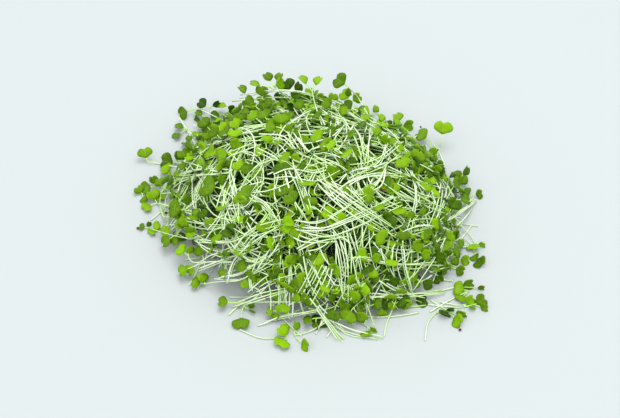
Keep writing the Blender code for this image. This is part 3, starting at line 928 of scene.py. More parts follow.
def facing_leaf(tip, placed):
    """A leaf whose blade shows at a pixel, at the tip's depth and turned as its row says."""
    px, py, width, turn = placed
    depth = (tip - EYE).dot(FORWARD)
    way = sight_line(px, py)
    depth = min(depth, (EYE.z - LEAF_STANDS * width * PIXEL * depth) / -way.z)
    middle = EYE + way * depth
    reach = middle - tip
    along = reach.normalized()
    upper = (-FORWARD - along * -FORWARD.dot(along)).normalized()
    upper = Matrix.Rotation(math.radians(turn), 3, along) @ upper
    wide = width * PIXEL * depth
    stalk = reach.length - 0.5 * BLADE_LENGTH_SHARE * wide
    return {
        "root": tip.copy(),
        "along": along,
        "upper": upper,
        "stalk": max(stalk, LEAST_STALK),
        "width": wide,
        "arch": PLACED_ARCH,
    }


def sprig(pixels, from_lift, to_lift, *placed):
    """A seedling that stands where the photograph shows it."""
    line = line_over_mound(pixels, from_lift, to_lift)
    leaves = [facing_leaf(line[-1], leaf) for leaf in placed]
    return {"line": line, "leaves": leaves}


def sheaf(rng, pixels, count, from_spread, to_spread, from_lift, to_lift):
    """Stems that lie side by side, each a little astray of the sheaf's middle line."""
    stems = []
    for i in range(count):
        place = (i + 0.5) / count - 0.5 + rng.uniform(-SHEAF_STRAY, SHEAF_STRAY)
        bow = rng.uniform(-SHEAF_BOW, SHEAF_BOW)
        drift = rng.uniform(-SHEAF_DRIFT, SHEAF_DRIFT)
        strayed = []
        last = len(pixels) - 1
        for k, (px, py) in enumerate(pixels):
            before = pixels[max(k - 1, 0)]
            after = pixels[min(k + 1, last)]
            run = Vector((after[0] - before[0], after[1] - before[1])).normalized()
            part = k / last
            aside = place * (from_spread + (to_spread - from_spread) * part)
            aside += bow * math.sin(math.pi * part) + drift * part
            ahead = rng.uniform(-SHEAF_ENDS, SHEAF_ENDS) if k in (0, last) else 0.0
            strayed.append(
                (px - run.y * aside + run.x * ahead, py + run.x * aside + run.y * ahead)
            )
        rise = rng.uniform(*SHEAF_RISE)
        stems.append(line_over_mound(strayed, from_lift + rise, to_lift + rise))
    return stems


def loose_line(rng, knot, heading, turn, length, share, goal):
    """A stem's line through a knot, at a share of the mound's height that changes to a goal."""
    cut_side = length * rng.uniform(*CUT_SIDE)
    leaf_side = length - cut_side
    dive = rng.uniform(*STEM_DIVE)
    rise = (goal - share) / leaf_side

    def towards_cut(gone):
        return max(share - dive * gone, 0.0)

    def towards_leaves(gone):
        return max(share + rise * gone, 0.0)

    behind = walk(knot, heading, turn, cut_side, towards_cut, -1)
    ahead = walk(knot, heading, turn, leaf_side, towards_leaves, 1)
    return behind[::-1] + [knot.copy()] + ahead


def loose_seedling(rng, x, y, share, goal, heading, turn, length):
    """A seedling of the fill, whose stem runs through a place in the mound."""
    knot = Vector((x, y, max(share * mound_height(x, y), STEM_RADIUS)))
    line = loose_line(rng, knot, heading, turn, length, share, goal)
    leaves = open_leaves(rng, line, False)
    for leaf in leaves:
        leaf["width"] *= FILL_LEAF_SIZE
    return {"line": line, "leaves": leaves}


def loose_beads(seedling):
    """Every other point of the stem, and the middles and lobes of the leaves."""
    beads = [(point, False) for point in seedling["line"][::2]]
    for leaf in seedling["leaves"]:
        length = leaf["width"] * BLADE_LENGTH_SHARE
        for part, across in LOOSE_BEADS:
            ahead = leaf["stalk"] + length * part
            beads.append((blade_point(leaf, ahead, leaf["width"] * across), True))
    return beads


def foot_reach(x, y):
    """How far out the fill goes that way: less far in front, and least at the front left."""
    way = math.atan2(y, x)
    in_front = max(0.0, -math.sin(way))
    front_left = max(0.0, math.cos(way - FRONT_LEFT)) ** 2
    return FOOT_REACH - FRONT_BARE * in_front - FRONT_LEFT_BARE * front_left


def past_foot(point):
    return way_out(point.x, point.y) > foot_reach(point.x, point.y)


def in_fill(point):
    """True if a point is above the floor and not far out of the mound, less so at its crest."""
    proud = STAND_PROUD + CREST_PROUD * max(0.0, point.y / MOUND_HALF_DEPTH)
    if point.z < 0.0 or past_foot(point):
        return False
    return point.z < mound_height(point.x, point.y) + proud


def crowding(seedling, taken):
    """How many of a seedling's beads are too near to others, or out of the mound."""
    count = 0
    for point, is_leaf in loose_beads(seedling):
        if not in_fill(point):
            count += OUT_OF_MOUND
            continue
        for other in beads_near(point, taken):
            room = CROWD_ROOM * (LEAF_CROWDS if is_leaf or other["is_leaf"] else 1.0)
            if (point - other["at"]).length < room:
                count += 1
    return count


def least_crowded(choices, taken):
    """The choice that is least crowded, or none if all of them leave the mound."""
    crowds = [crowding(seedling, taken) for seedling in choices]
    least = min(crowds)
    if least >= OUT_OF_MOUND:
        return []
    best = choices[crowds.index(least)]
    note_room(loose_beads(best), taken)
    return [best]


def fill_sheaves(rng, count, taken):
    """Sheaves of seedlings that fill the mound's outer room."""
    made = []
    for i in range(count):
        x, y = on_spiral(i, count, FILL_SPREAD)
        heading = rng.uniform(0.0, 2.0 * math.pi)
        turn = rng.uniform(-STEM_BEND, STEM_BEND)
        share = rng.uniform(*FILL_SHARE)
        for k in range(rng.randint(*FILL_SHEAF)):
            choices = []
            for _ in range(FILL_CHOICES):
                aside = (k - FILL_MIDDLE) * FILL_GAP + rng.uniform(-FILL_ASIDE, FILL_ASIDE)
                ahead = rng.uniform(-FILL_AHEAD, FILL_AHEAD)
                way = heading + rng.gauss(0.0, FILL_FAN)
                at_x = x - math.sin(heading) * aside + math.cos(heading) * ahead
                at_y = y + math.cos(heading) * aside + math.sin(heading) * ahead
                drift = rng.uniform(-FILL_SHARE_DRIFT, FILL_SHARE_DRIFT)
                near = min(max(share + drift, FILL_LEAST_SHARE), 1.0)
                bent = turn + rng.uniform(-FILL_BEND_DRIFT, FILL_BEND_DRIFT)
                length = rng.uniform(*STEM_LENGTH)
                goal = min(near + rng.uniform(*FILL_RISE), FILL_TOP)
                choices.append(loose_seedling(rng, at_x, at_y, near, goal, way, bent, length))
            made += least_crowded(choices, taken)
    return made


def spread_places(rng, count):
    """An even spread of places over the mound, each a little astray."""
    places = []
    for i in range(count):
        place = on_spiral(i, count, SINGLE_SPREAD, turned=SINGLE_TURNED)
        places.append(tuple(part + rng.gauss(0.0, SINGLE_ASTRAY) for part in place))
    return places


def fill_singles(rng, places, shares, goals, lengths, taken):
    """Single seedlings at their places, with their heads at a share of the mound's height."""
    made = []
    for x, y in places:
        choices = []
        for _ in range(FILL_CHOICES):
            way = rng.uniform(0.0, 2.0 * math.pi)
            share = rng.uniform(*shares)
            goal = rng.uniform(*goals)
            bent = rng.uniform(-STEM_BEND, STEM_BEND)
            length = rng.uniform(*lengths)
            at_x = x - math.cos(way) * SINGLE_BACK * length
            at_y = y - math.sin(way) * SINGLE_BACK * length
            choices.append(loose_seedling(rng, at_x, at_y, share, goal, way, bent, length))
        made += least_crowded(choices, taken)
    return made


def fill_seedlings(rng, sizes, taken):
    """All that fill the mound: sheaves, singles, heads at its surface and crest, and a bed."""
    made = fill_sheaves(rng, sizes.fill_sheaves, taken)
    places = spread_places(rng, sizes.fill_singles)
    made += fill_singles(rng, places, FILL_SHARE, SINGLE_GOAL, STEM_LENGTH, taken)
    places = spread_places(rng, sizes.fill_heads)
    made += fill_singles(rng, places, HEAD_SHARE, HEAD_GOAL, HEAD_LENGTH, taken)
    places = [
        tuple(rng.gauss(middle, spread) for middle, spread in zip(CREST_MIDDLE, CREST_SPREAD))
        for _ in range(FILL_CREST)
    ]
    made += fill_singles(rng, places, HEAD_SHARE, CREST_GOAL, HEAD_LENGTH, taken)
    places = spread_places(rng, FILL_BED)
    return made + fill_singles(rng, places, BED_SHARE, BED_GOAL, HEAD_LENGTH, taken)


def strands(rng):
    """Small sheaves of stems that lie on the mound, with both their ends dipping into it."""
    made = []
    for i in range(STRAND_SHEAVES):
        x, y = on_spiral(i, STRAND_SHEAVES, STRAND_SPREAD)
        heading = rng.uniform(0.0, 2.0 * math.pi)
        turn = rng.choice((-1, 1)) * rng.uniform(*STRAND_BEND)
        for k in range(rng.randint(*STRAND_SHEAF)):
            aside = (k - STRAND_MIDDLE) * FILL_GAP + rng.uniform(-FILL_ASIDE, FILL_ASIDE)
            at_x = x - math.sin(heading) * aside
            at_y = y + math.cos(heading) * aside
            share = rng.uniform(*STRAND_SHARE)
            dip = rng.uniform(*STRAND_DIP)
            half = rng.uniform(*STRAND_LENGTH) / 2.0
            way = heading + rng.gauss(0.0, STRAND_FAN)
            bent = turn + rng.uniform(-STRAND_BEND_DRIFT, STRAND_BEND_DRIFT)
            knot = Vector((at_x, at_y, max(share * mound_height(at_x, at_y), STEM_RADIUS)))

            def towards_end(gone):
                return max(share - dip * gone * gone / half, 0.0)

            behind = walk(knot, way, bent, half, towards_end, -1)
            ahead = walk(knot, way, bent, half, towards_end, 1)
            line = behind[::-1] + [knot] + ahead
            if not any(past_foot(point) for point in line):
                made.append(line)
    return made


# Masters, each modelled once


def select_where(test):
    """In edit mode, selects just the points that pass a test."""
    mesh = bpy.context.edit_object.data
    shape = bmesh.from_edit_mesh(mesh)
    for face in shape.faces:
        face.select_set(False)
    for edge in shape.edges:
        edge.select_set(False)
    for vert in shape.verts:
        vert.select_set(bool(test(vert)))
    shape.select_flush_mode()
    bmesh.update_edit_mesh(mesh)


def walled(made, thickness, offset):
    """Gives a sheet a wall."""
    wall = made.modifiers.new("wall", "SOLIDIFY")
    wall.thickness = thickness
    wall.offset = offset
    bpy.ops.object.modifier_apply(modifier=wall.name)


def take_master(made):
    """A master's points and faces as arrays. The object itself is no longer needed."""
    mesh = made.data
    points = np.empty(len(mesh.vertices) * 3)
    mesh.vertices.foreach_get("co", points)
    corners = np.empty(len(mesh.loops), np.int32)
    mesh.loops.foreach_get("vertex_index", corners)
    starts = np.empty(len(mesh.polygons), np.int32)
    mesh.polygons.foreach_get("loop_start", starts)
    bpy.data.objects.remove(made)
    bpy.data.meshes.remove(mesh)
    return {"points": points.reshape(-1, 3), "corners": corners, "starts": starts}


def tube_master(around, rings):
    """A tube from 0 to 1 along Z with a radius of 1, closed at both ends."""
    bpy.ops.object.select_all(action="DESELECT")
    bpy.ops.mesh.primitive_cylinder_add(
        vertices=around, radius=1.0, depth=1.0, location=(0.0, 0.0, 0.5)
    )
    made = bpy.context.object
    bpy.ops.object.transform_apply(location=True, rotation=False, scale=False)
    bpy.ops.object.mode_set(mode="EDIT")
    bpy.ops.mesh.select_mode(type="EDGE")
    shape = bmesh.from_edit_mesh(made.data)
    for face in shape.faces:
        face.select_set(False)
    for edge in shape.edges:
        edge.select_set(abs(edge.verts[0].co.z - edge.verts[1].co.z) > 0.5)
    bmesh.update_edit_mesh(made.data)
    bpy.ops.mesh.subdivide(number_cuts=rings - 2)
    bpy.ops.mesh.select_mode(type="VERT")
    bpy.ops.object.mode_set(mode="OBJECT")
    return take_master(made)


def blade_master():
    """A kidney-shaped, notched blade, one unit wide, from its base at 0 along +Y."""
    bpy.ops.object.select_all(action="DESELECT")
    bpy.ops.mesh.primitive_circle_add(vertices=BLADE_ROUND, radius=0.5, fill_type="NOTHING")
    made = bpy.context.object
    bpy.ops.object.mode_set(mode="EDIT")
    bpy.ops.mesh.select_mode(type="VERT")
    bpy.ops.mesh.select_all(action="SELECT")
    bpy.ops.mesh.fill_grid(span=BLADE_ROUND // 4)
    bpy.ops.mesh.select_all(action="SELECT")
    bpy.ops.transform.resize(value=(1.0, BLADE_SQUEEZE, 1.0))
    for is_pushed, push in BLADE_EDGE:
        select_where(lambda vert: is_pushed(abs(vert.co.x), vert.co.y))
        bpy.ops.transform.translate(value=(0.0, push, 0.0))
    select_where(lambda vert: not vert.is_boundary)
    bpy.ops.mesh.vertices_smooth(factor=0.5, repeat=BLADE_SMOOTHING)
    bpy.ops.mesh.select_all(action="SELECT")
    bpy.ops.transform.translate(value=(0.0, BLADE_SHIFT, 0.0))
    bpy.ops.mesh.normals_make_consistent(inside=False)
    bpy.ops.object.mode_set(mode="OBJECT")
    walled(made, BLADE_WALL, 0.0)
    return take_master(made)


def hull_master():
    """Half of a wrinkled, round seed coat, with a radius of 1."""
    bpy.ops.object.select_all(action="DESELECT")
    bpy.ops.mesh.primitive_uv_sphere_add(segments=10, ring_count=6, radius=1.0)
    made = bpy.context.object
    bpy.ops.object.mode_set(mode="EDIT")
    bpy.ops.mesh.select_mode(type="VERT")
    bpy.ops.mesh.select_all(action="SELECT")
    bpy.ops.mesh.bisect(
        plane_co=HULL_CUT, plane_no=HULL_CUT_FACES, clear_outer=True, use_fill=False
    )
    bpy.ops.mesh.select_all(action="SELECT")
    bpy.ops.transform.vertex_random(offset=HULL_WRINKLE, seed=HULL_SEED)
    bpy.ops.transform.resize(value=HULL_SQUEEZE)
    bpy.ops.mesh.normals_make_consistent(inside=False)
    bpy.ops.object.mode_set(mode="OBJECT")
    walled(made, HULL_WALL, -1.0)
    return take_master(made)


# Copies of the masters, each bent to its own place


def stations(line, count):
    """As many points along a line, evenly spaced, as an array."""
    points = np.array([tuple(point) for point in line])
    strides = np.linalg.norm(np.diff(points, axis=0), axis=1)
    gone = np.concatenate(([0.0], np.cumsum(strides)))
    marks = np.linspace(0.0, gone[-1], count)
    return np.stack([np.interp(marks, gone, points[:, i]) for i in range(3)], axis=1)


def bent_tube(master, rings, line, from_radius, to_radius):
    """A copy of a tube master along a line."""
    path = stations(line, rings)
    ways = np.gradient(path, axis=0)
    ways /= np.linalg.norm(ways, axis=1)[:, None]
    side = np.cross(ways[0], (0.0, 0.0, 1.0))
    if np.linalg.norm(side) < NEARLY_PARALLEL:
        side = np.cross(ways[0], (0.0, 1.0, 0.0))
    sides = []
    for way in ways:
        side = side - way * side.dot(way)
        side = side / np.linalg.norm(side)
        sides.append(side)
    sides = np.array(sides)
    overs = np.cross(ways, sides)
    source = master["points"]
    along = source[:, 2]
    ring = np.rint(along * (rings - 1)).astype(int)
    radius = from_radius + (to_radius - from_radius) * along
    points = path[ring]
    points = points + sides[ring] * (source[:, 0] * radius)[:, None]
    points = points + overs[ring] * (source[:, 1] * radius)[:, None]
    lowest = FLOOR_GAP + FLOOR_SQUASH * radius * (source[:, 1] + 1.0)
    points[:, 2] = np.maximum(points[:, 2], lowest)
    return points, along


def bent_blade(master, leaf, curl, cup, wave, phase):
    """A copy of the blade master on its leaf's sheet, arched, curled and waved."""
    wide = leaf["width"]
    source = master["points"]
    across = source[:, 0] * wide
    ahead = source[:, 1] * wide
    through = source[:, 2] * wide
    part = source[:, 1] / BLADE_LENGTH_SHARE
    rounding = FOLD_ROUNDING * wide
    lift = leaf["arch"] * (np.sqrt(across**2 + rounding**2) - rounding)
    lift = lift + cup * across**2 / wide - curl * wide * part**2
    lift = lift + wave * wide * np.abs(source[:, 0]) * np.sin(part * BLADE_WAVES + phase)
    along = np.array(leaf["along"])
    upper = np.array(leaf["upper"])
    beside = np.cross(upper, along)
    points = np.array(leaf["root"]) + along * (leaf["stalk"] + ahead)[:, None]
    points = points + beside * across[:, None] + upper * (lift + through)[:, None]
    points[:, 2] = np.maximum(points[:, 2], FLOOR_GAP + through + 0.5 * BLADE_WALL * wide)
    return points


class Bunch:
    """Shaped copies that are gathered into one piece."""

    def __init__(self):
        self.points = []
        self.corners = []
        self.starts = []
        self.finishes = []
        self.plans = []
        self.tones = []
        self.unders = []
        self.point_count = 0
        self.corner_count = 0

    def add(self, master, points, finish, plan, tone, under):
        """Adds a copy: its finish is a material's number, its plan a flat place per point.

        Its tone is one number, or one per point.
        """
        self.points.append(points)
        self.corners.append(master["corners"] + self.point_count)
        self.starts.append(master["starts"] + self.corner_count)
        self.finishes.append(np.full(len(master["starts"]), finish, np.int32))
        self.plans.append(plan)
        self.tones.append(np.broadcast_to(tone, len(points)))
        self.unders.append(under)
        self.point_count += len(points)
        self.corner_count += len(master["corners"])

    def piece(self, name, materials):
        """The copies as one object."""
        mesh = bpy.data.meshes.new(name)
        points = np.concatenate(self.points).astype(np.float32)
        corners = np.concatenate(self.corners).astype(np.int32)
        starts = np.concatenate(self.starts).astype(np.int32)
        mesh.vertices.add(len(points))
        mesh.vertices.foreach_set("co", points.ravel())
        mesh.loops.add(len(corners))
        mesh.loops.foreach_set("vertex_index", corners)
        mesh.polygons.add(len(starts))
        mesh.polygons.foreach_set("loop_start", starts)
        for material in materials:
            mesh.materials.append(material)
        mesh.polygons.foreach_set("material_index", np.concatenate(self.finishes))
        mesh.update(calc_edges=True)
        plan = mesh.uv_layers.new(name="plan")
        plan.data.foreach_set(
            "uv", np.concatenate(self.plans).astype(np.float32)[corners].ravel()
        )
        for label, values in (("tone", self.tones), ("under", self.unders)):
            kept = mesh.attributes.new(label, "FLOAT", "POINT")
            kept.data.foreach_set("value", np.concatenate(values).astype(np.float32))
        mesh.shade_smooth()
        made = bpy.data.objects.new(name, mesh)
        bpy.context.scene.collection.objects.link(made)
        return made


def painted_shade_of(x, y, z):
    """How much painted shade a place gets, by its depth: 0 at the mound's surface or its foot, 1
    where little light comes.
    """
    inside = min(max((foot_reach(x, y) - way_out(x, y)) / SHADE_FOOT_FADE, 0.0), 1.0)
    return inside * min(max((mound_height(x, y) - z) / FULL_SHADE_DEPTH, 0.0), 1.0)


def add_stem(bunch, rng, masters, line, tone):
    """A stem along a line, darker green with painted shade where it is deep in the mound, and
    greener near its leaves.
    """
    radius = rng.uniform(*FINE_STEM_RADIUS)
    points, along = bent_tube(masters["stem"], STEM_RINGS, line, radius, radius * STEM_TAPER)
    plan = np.stack([np.full(len(along), 0.5), along], axis=1)
    ring = np.rint(along * (STEM_RINGS - 1)).astype(int)
    # Painted shade: the stem's tone rises with its depth in the mound
    depth = np.array([painted_shade_of(*place) for place in stations(line, STEM_RINGS)])
    tones = np.clip(tone + STEM_PAINTED_SHADE * depth[ring], 0.0, 1.0)
    bunch.add(masters["stem"], points, STEM_FINISH, plan, tones, np.zeros(len(along)))


def add_seedling(bunch, rng, masters, seedling, pressed=False):
    """A stem, two stalks that fork from its tip, and a blade on each. Deeper ones get painted
    shade, a darker green.
    """
    line = seedling["line"]
    own_tone = LEAF_TONE * rng.random() ** LEAF_TONE_POWER
    # Painted shade: the leaves' tone rises with the depth of the stem's tip in the mound
    tone = min(own_tone + LEAF_PAINTED_SHADE * painted_shade_of(*line[-1]), 1.0)
    add_stem(bunch, rng, masters, line, SEEDLING_STEM_TONE * rng.random())
    tangent = (line[-1] - line[-3]).normalized()
    for leaf in seedling["leaves"]:
        stalk = leaf["stalk"]
        base = leaf["root"] + leaf["along"] * (stalk + BLADE_OVERLAP * leaf["width"])
        on, aside = (share * stalk for share in STALK_BEND)
        bend = line[-1] + tangent * on + leaf["along"] * aside
        start = line[-1] - tangent * STEM_RADIUS
        fork = [start.lerp(bend, t).lerp(bend.lerp(base, t), t) for t in STALK_MARKS]
        thick = STALK_RADIUS * STALK_FLARE
        points, along = bent_tube(masters["stalk"], STALK_RINGS, fork, thick, STALK_RADIUS)
        ahead = STALK_PLAN[0] + STALK_PLAN[1] * along
        plan = np.stack([np.full(len(along), 0.5), ahead], axis=1)
        bunch.add(masters["stalk"], points, STEM_FINISH, plan, tone, np.zeros(len(along)))
        curl, cup, wave = (
            0.0 if pressed else rng.uniform(*bounds)
            for bounds in (BLADE_CURL, BLADE_CUP, BLADE_WAVE)
        )
        phase = rng.uniform(0.0, FULL_TURN)
        points = bent_blade(masters["blade"], leaf, curl, cup, wave, phase)
        source = masters["blade"]["points"]
        plan = np.stack([source[:, 0] + 0.5, source[:, 1] / BLADE_LENGTH_SHARE], axis=1)
        under = (source[:, 2] < 0.0).astype(float)
        shade = tone + rng.uniform(-LEAF_TONE_DRIFT, LEAF_TONE_DRIFT)
        shade = min(max(shade, 0.0), 1.0)
        bunch.add(masters["blade"], points, LEAF_FINISH, plan, shade, under)


def all_masters():
    """The three masters of a seedling, made anew where an operator needs them."""
    return {
        "stem": tube_master(STEM_ROUND, STEM_RINGS),
        "stalk": tube_master(STALK_ROUND, STALK_RINGS),
        "blade": blade_master(),
    }


# Materials


def feed(tree, port, value):
    """Gives an input its value, which is a socket, a number or a colour."""
    if isinstance(value, bpy.types.NodeSocket):
        tree.links.new(value, port)
    elif isinstance(value, float):
        port.default_value = value
    else:
        port.default_value = (*value, 1.0)


def math_node(tree, operation, *values, clamp=False):
    """A Math node's result, from sockets or numbers."""
    node = tree.nodes.new("ShaderNodeMath")
    node.operation = operation
    node.use_clamp = clamp
    for port, value in zip(node.inputs, values):
        feed(tree, port, value)
    return node.outputs[0]


def mixed(tree, factor, first, second):
    """A colour between two, each a socket or a colour."""
    node = tree.nodes.new("ShaderNodeMix")
    node.data_type = "RGBA"
    for key, value in (("Factor", factor), ("A", first), ("B", second)):
        feed(tree, node.inputs[key], value)
    return node.outputs["Result"]


def attribute(tree, label):
    """What the mesh says there under a label."""
    node = tree.nodes.new("ShaderNodeAttribute")
    node.attribute_name = label
    return node.outputs["Fac"]


def plan_of(tree):
    """A place on the flat plan of a leaf or a stem: how far across it is, and how far along."""
    plan = tree.nodes.new("ShaderNodeUVMap")
    plan.uv_map = "plan"
    parts = tree.nodes.new("ShaderNodeSeparateXYZ")
    tree.links.new(plan.outputs["UV"], parts.inputs["Vector"])
    return parts.outputs["X"], parts.outputs["Y"]


def growth_group():
    """Node group: the colour of a growing thing, between two colours by tone, and mottled. For
    leaves and stems the tone also carries painted shade deep in the mound.
    """
    name = "growth colour"
    if name in bpy.data.node_groups:
        return bpy.data.node_groups[name]
    group = bpy.data.node_groups.new(name, "ShaderNodeTree")
    for label, way, kind in (
        ("Pale", "INPUT", "NodeSocketColor"),
        ("Deep", "INPUT", "NodeSocketColor"),
        ("Mottle", "INPUT", "NodeSocketFloat"),
        ("Scale", "INPUT", "NodeSocketFloat"),
        ("Color", "OUTPUT", "NodeSocketColor"),
        ("Mask", "OUTPUT", "NodeSocketFloat"),
    ):
        group.interface.new_socket(name=label, in_out=way, socket_type=kind)
    given = group.nodes.new("NodeGroupInput").outputs
    out = group.nodes.new("NodeGroupOutput").inputs
    place = group.nodes.new("ShaderNodeTexCoord")
    noise = group.nodes.new("ShaderNodeTexNoise")
    feed(group, noise.inputs["Vector"], place.outputs["Object"])
    feed(group, noise.inputs["Scale"], given["Scale"])
    feed(group, noise.inputs["Detail"], 3.0)
    mask = noise.outputs["Fac"]
    centred = math_node(group, "SUBTRACT", mask, 0.5)
    tone = attribute(group, "tone")
    mottled = math_node(group, "MULTIPLY_ADD", centred, given["Mottle"], tone, clamp=True)
    feed(group, out["Color"], mixed(group, mottled, given["Pale"], given["Deep"]))
    feed(group, out["Mask"], mask)
    return group


def grown(tree, pale, deep, mottle, scale):
    """The growth group placed in a material with its own values: its colour and its mask."""
    node = tree.nodes.new("ShaderNodeGroup")
    node.node_tree = growth_group()
    for key, value in (("Pale", pale), ("Deep", deep), ("Mottle", mottle), ("Scale", scale)):
        feed(tree, node.inputs[key], value)
    return node.outputs["Color"], node.outputs["Mask"]


def new_material(name):
    """A material with a Principled shader: the material, its node tree and the shader."""
    material = bpy.data.materials.new(name)
    material.use_nodes = True
    tree = material.node_tree
    return material, tree, tree.nodes["Principled BSDF"]


def roughened(tree, shader, mask, span, least):
    """Roughness that follows the growth's mask."""
    rough = math_node(tree, "MULTIPLY", mask, span)
    feed(tree, shader.inputs["Roughness"], math_node(tree, "ADD", rough, least))


def bumped(tree, shader, height, strength, distance):
    """A fine relief over the modelled shape."""
    bump = tree.nodes.new("ShaderNodeBump")
    feed(tree, bump.inputs["Strength"], strength)
    feed(tree, bump.inputs["Distance"], distance)
    feed(tree, bump.inputs["Height"], height)
    feed(tree, shader.inputs["Normal"], bump.outputs["Normal"])


def let_light_through(tree, shader, colour, share):
    """Mixes a share of translucency into a material."""
    thin = tree.nodes.new("ShaderNodeBsdfTranslucent")
    feed(tree, thin.inputs["Color"], colour)
    mix = tree.nodes.new("ShaderNodeMixShader")
    feed(tree, mix.inputs["Fac"], share)
    feed(tree, mix.inputs[1], shader.outputs["BSDF"])
    feed(tree, mix.inputs[2], thin.outputs["BSDF"])
    feed(tree, tree.nodes["Material Output"].inputs["Surface"], mix.outputs["Shader"])


def leaf_material(colours):
    """Seed leaf: a pale midrib and side veins, mottled green, darker green in painted shade deep
    in the mound, paler underneath.
    """
    name = "seed_leaf"
    if name in bpy.data.materials:
        return bpy.data.materials[name]
    material, tree, shader = new_material(name)
    # The tone mixes towards the dark leaf green, which deep in the mound is painted shade
    colour, mask = grown(tree, colours.leaf_bright, colours.leaf_dark_and_shade, mottle=0.55, scale=260.0)
    across, ahead = plan_of(tree)
    aside = math_node(tree, "SUBTRACT", across, 0.5)
    aside = math_node(tree, "ABSOLUTE", aside)
    rib = math_node(tree, "MULTIPLY", aside, -MIDRIB_SHARPNESS)
    rib = math_node(tree, "ADD", rib, 1.0, clamp=True)
    slant = math_node(tree, "MULTIPLY", aside, -VEIN_SLANT)
    slant = math_node(tree, "ADD", ahead, slant)
    wave = math_node(tree, "MULTIPLY", slant, VEIN_WAVES)
    wave = math_node(tree, "SINE", wave)
    side = math_node(tree, "SUBTRACT", wave, VEIN_CREST)
    side = math_node(tree, "MULTIPLY", side, VEIN_SHARPNESS, clamp=True)
    veins = math_node(tree, "MAXIMUM", rib, side)
    veined = math_node(tree, "MULTIPLY", veins, VEIN_SHARE)
    colour = mixed(tree, veined, colour, colours.leaf_vein)
    beneath = math_node(tree, "MULTIPLY", attribute(tree, "under"), UNDER_SHARE)
    colour = mixed(tree, beneath, colour, colours.leaf_under)
    feed(tree, shader.inputs["Base Color"], colour)
    feed(tree, shader.inputs["Specular IOR Level"], DULL)
    roughened(tree, shader, mask, span=0.22, least=0.3)
    height = math_node(tree, "MULTIPLY", veins, VEIN_HEIGHT)
    height = math_node(tree, "ADD", height, mask)
    bumped(tree, shader, height, strength=0.35, distance=0.0003)
    let_light_through(tree, shader, colour, share=0.28)
    return material


def stem_material(colours):
    """Stem: white at its cut end, green towards its leaves, deep green from painted shade deep in
    the mound and from some stems' own darker tone.
    """
    name = "stem"
    if name in bpy.data.materials:
        return bpy.data.materials[name]
    material, tree, shader = new_material(name)
    colour, mask = grown(tree, colours.stem_white, colours.stem_pale, mottle=0.4, scale=420.0)
    # Deep green by tone: painted shade deep in the mound, and some stems' own darker tone
    dark_and_shaded = math_node(tree, "SUBTRACT", attribute(tree, "tone"), DEEP_FROM)
    dark_and_shaded = math_node(tree, "MULTIPLY", dark_and_shaded, DEEP_GAIN, clamp=True)
    dark_and_shaded = math_node(tree, "POWER", dark_and_shaded, DEEP_POWER)
    colour = mixed(tree, dark_and_shaded, colour, colours.stem_dark_and_shade)
    _, ahead = plan_of(tree)
    greener = math_node(tree, "POWER", ahead, GREEN_POWER)
    greener = math_node(tree, "MULTIPLY", greener, GREEN_SHARE, clamp=True)
    colour = mixed(tree, greener, colour, colours.stem_green)
    feed(tree, shader.inputs["Base Color"], colour)
    roughened(tree, shader, mask, span=0.2, least=0.22)
    bumped(tree, shader, mask, strength=0.2, distance=0.0002)
    let_light_through(tree, shader, colour, share=0.15)
    return material


def hull_material(colours):
    """Seed coat: dull red-brown, wrinkled."""
    name = "seed_hull"
    if name in bpy.data.materials:
        return bpy.data.materials[name]
    material, tree, shader = new_material(name)
    dark = tuple(HULL_DARK * part for part in colours.hull)
    colour, mask = grown(tree, colours.hull, dark, mottle=0.8, scale=1800.0)
    feed(tree, shader.inputs["Base Color"], colour)
    feed(tree, shader.inputs["Roughness"], 0.6)
    bumped(tree, shader, mask, strength=0.5, distance=0.0002)
    return material


def floor_material(colour):
    """Plain pale floor."""
    material, tree, shader = new_material("pale_floor")
    feed(tree, shader.inputs["Base Color"], colour)
    feed(tree, shader.inputs["Roughness"], 0.85)
    feed(tree, shader.inputs["Specular IOR Level"], DULL)
    return material


# What a user would change


def colour_setting(name, description, default):
    return FloatVectorProperty(
        name=name, description=description, subtype="COLOR", min=0.0, max=1.0, default=default
    )


def count_setting(name, description, default, most):
    return IntProperty(name=name, description=description, default=default, min=0, max=most)


class KaleColours(bpy.types.PropertyGroup):
    leaf_bright: colour_setting(
        "Bright leaf", "Colour of the brightest seed leaves", (0.27, 0.51, 0.002)
    )
    # The darkest leaf green, which deep in the mound is also painted shade
    leaf_dark_and_shade: colour_setting(
        "Deep leaf", "Colour of the deepest green seed leaves", (0.025, 0.082, 0.001)
    )
    leaf_vein: colour_setting(
        "Vein", "Colour of a leaf's midrib and side veins", (0.56, 0.76, 0.2)
    )
    leaf_under: colour_setting(
        "Underside", "Colour that a leaf's underside tends to", (0.36, 0.56, 0.16)
    )
    stem_white: colour_setting(
        "White stem", "Colour of the whitest stems", (0.76, 0.84, 0.66)
    )
    stem_pale: colour_setting(
        "Pale stem", "Colour of the greener stems at the heap's surface", (0.55, 0.82, 0.24)
    )
    # The darkest stem green, which deep in the mound is painted shade
    stem_dark_and_shade: colour_setting(
        "Deep stem", "Colour of the greenest stems, deep in the heap", (0.026, 0.095, 0.002)
    )
    stem_green: colour_setting(
        "Stem at the leaves", "Colour of a stem and its stalks near the leaves", (0.47, 0.8, 0.09)
    )
    hull: colour_setting("Seed hull", "Colour of the seed hulls", (0.17, 0.05, 0.016))


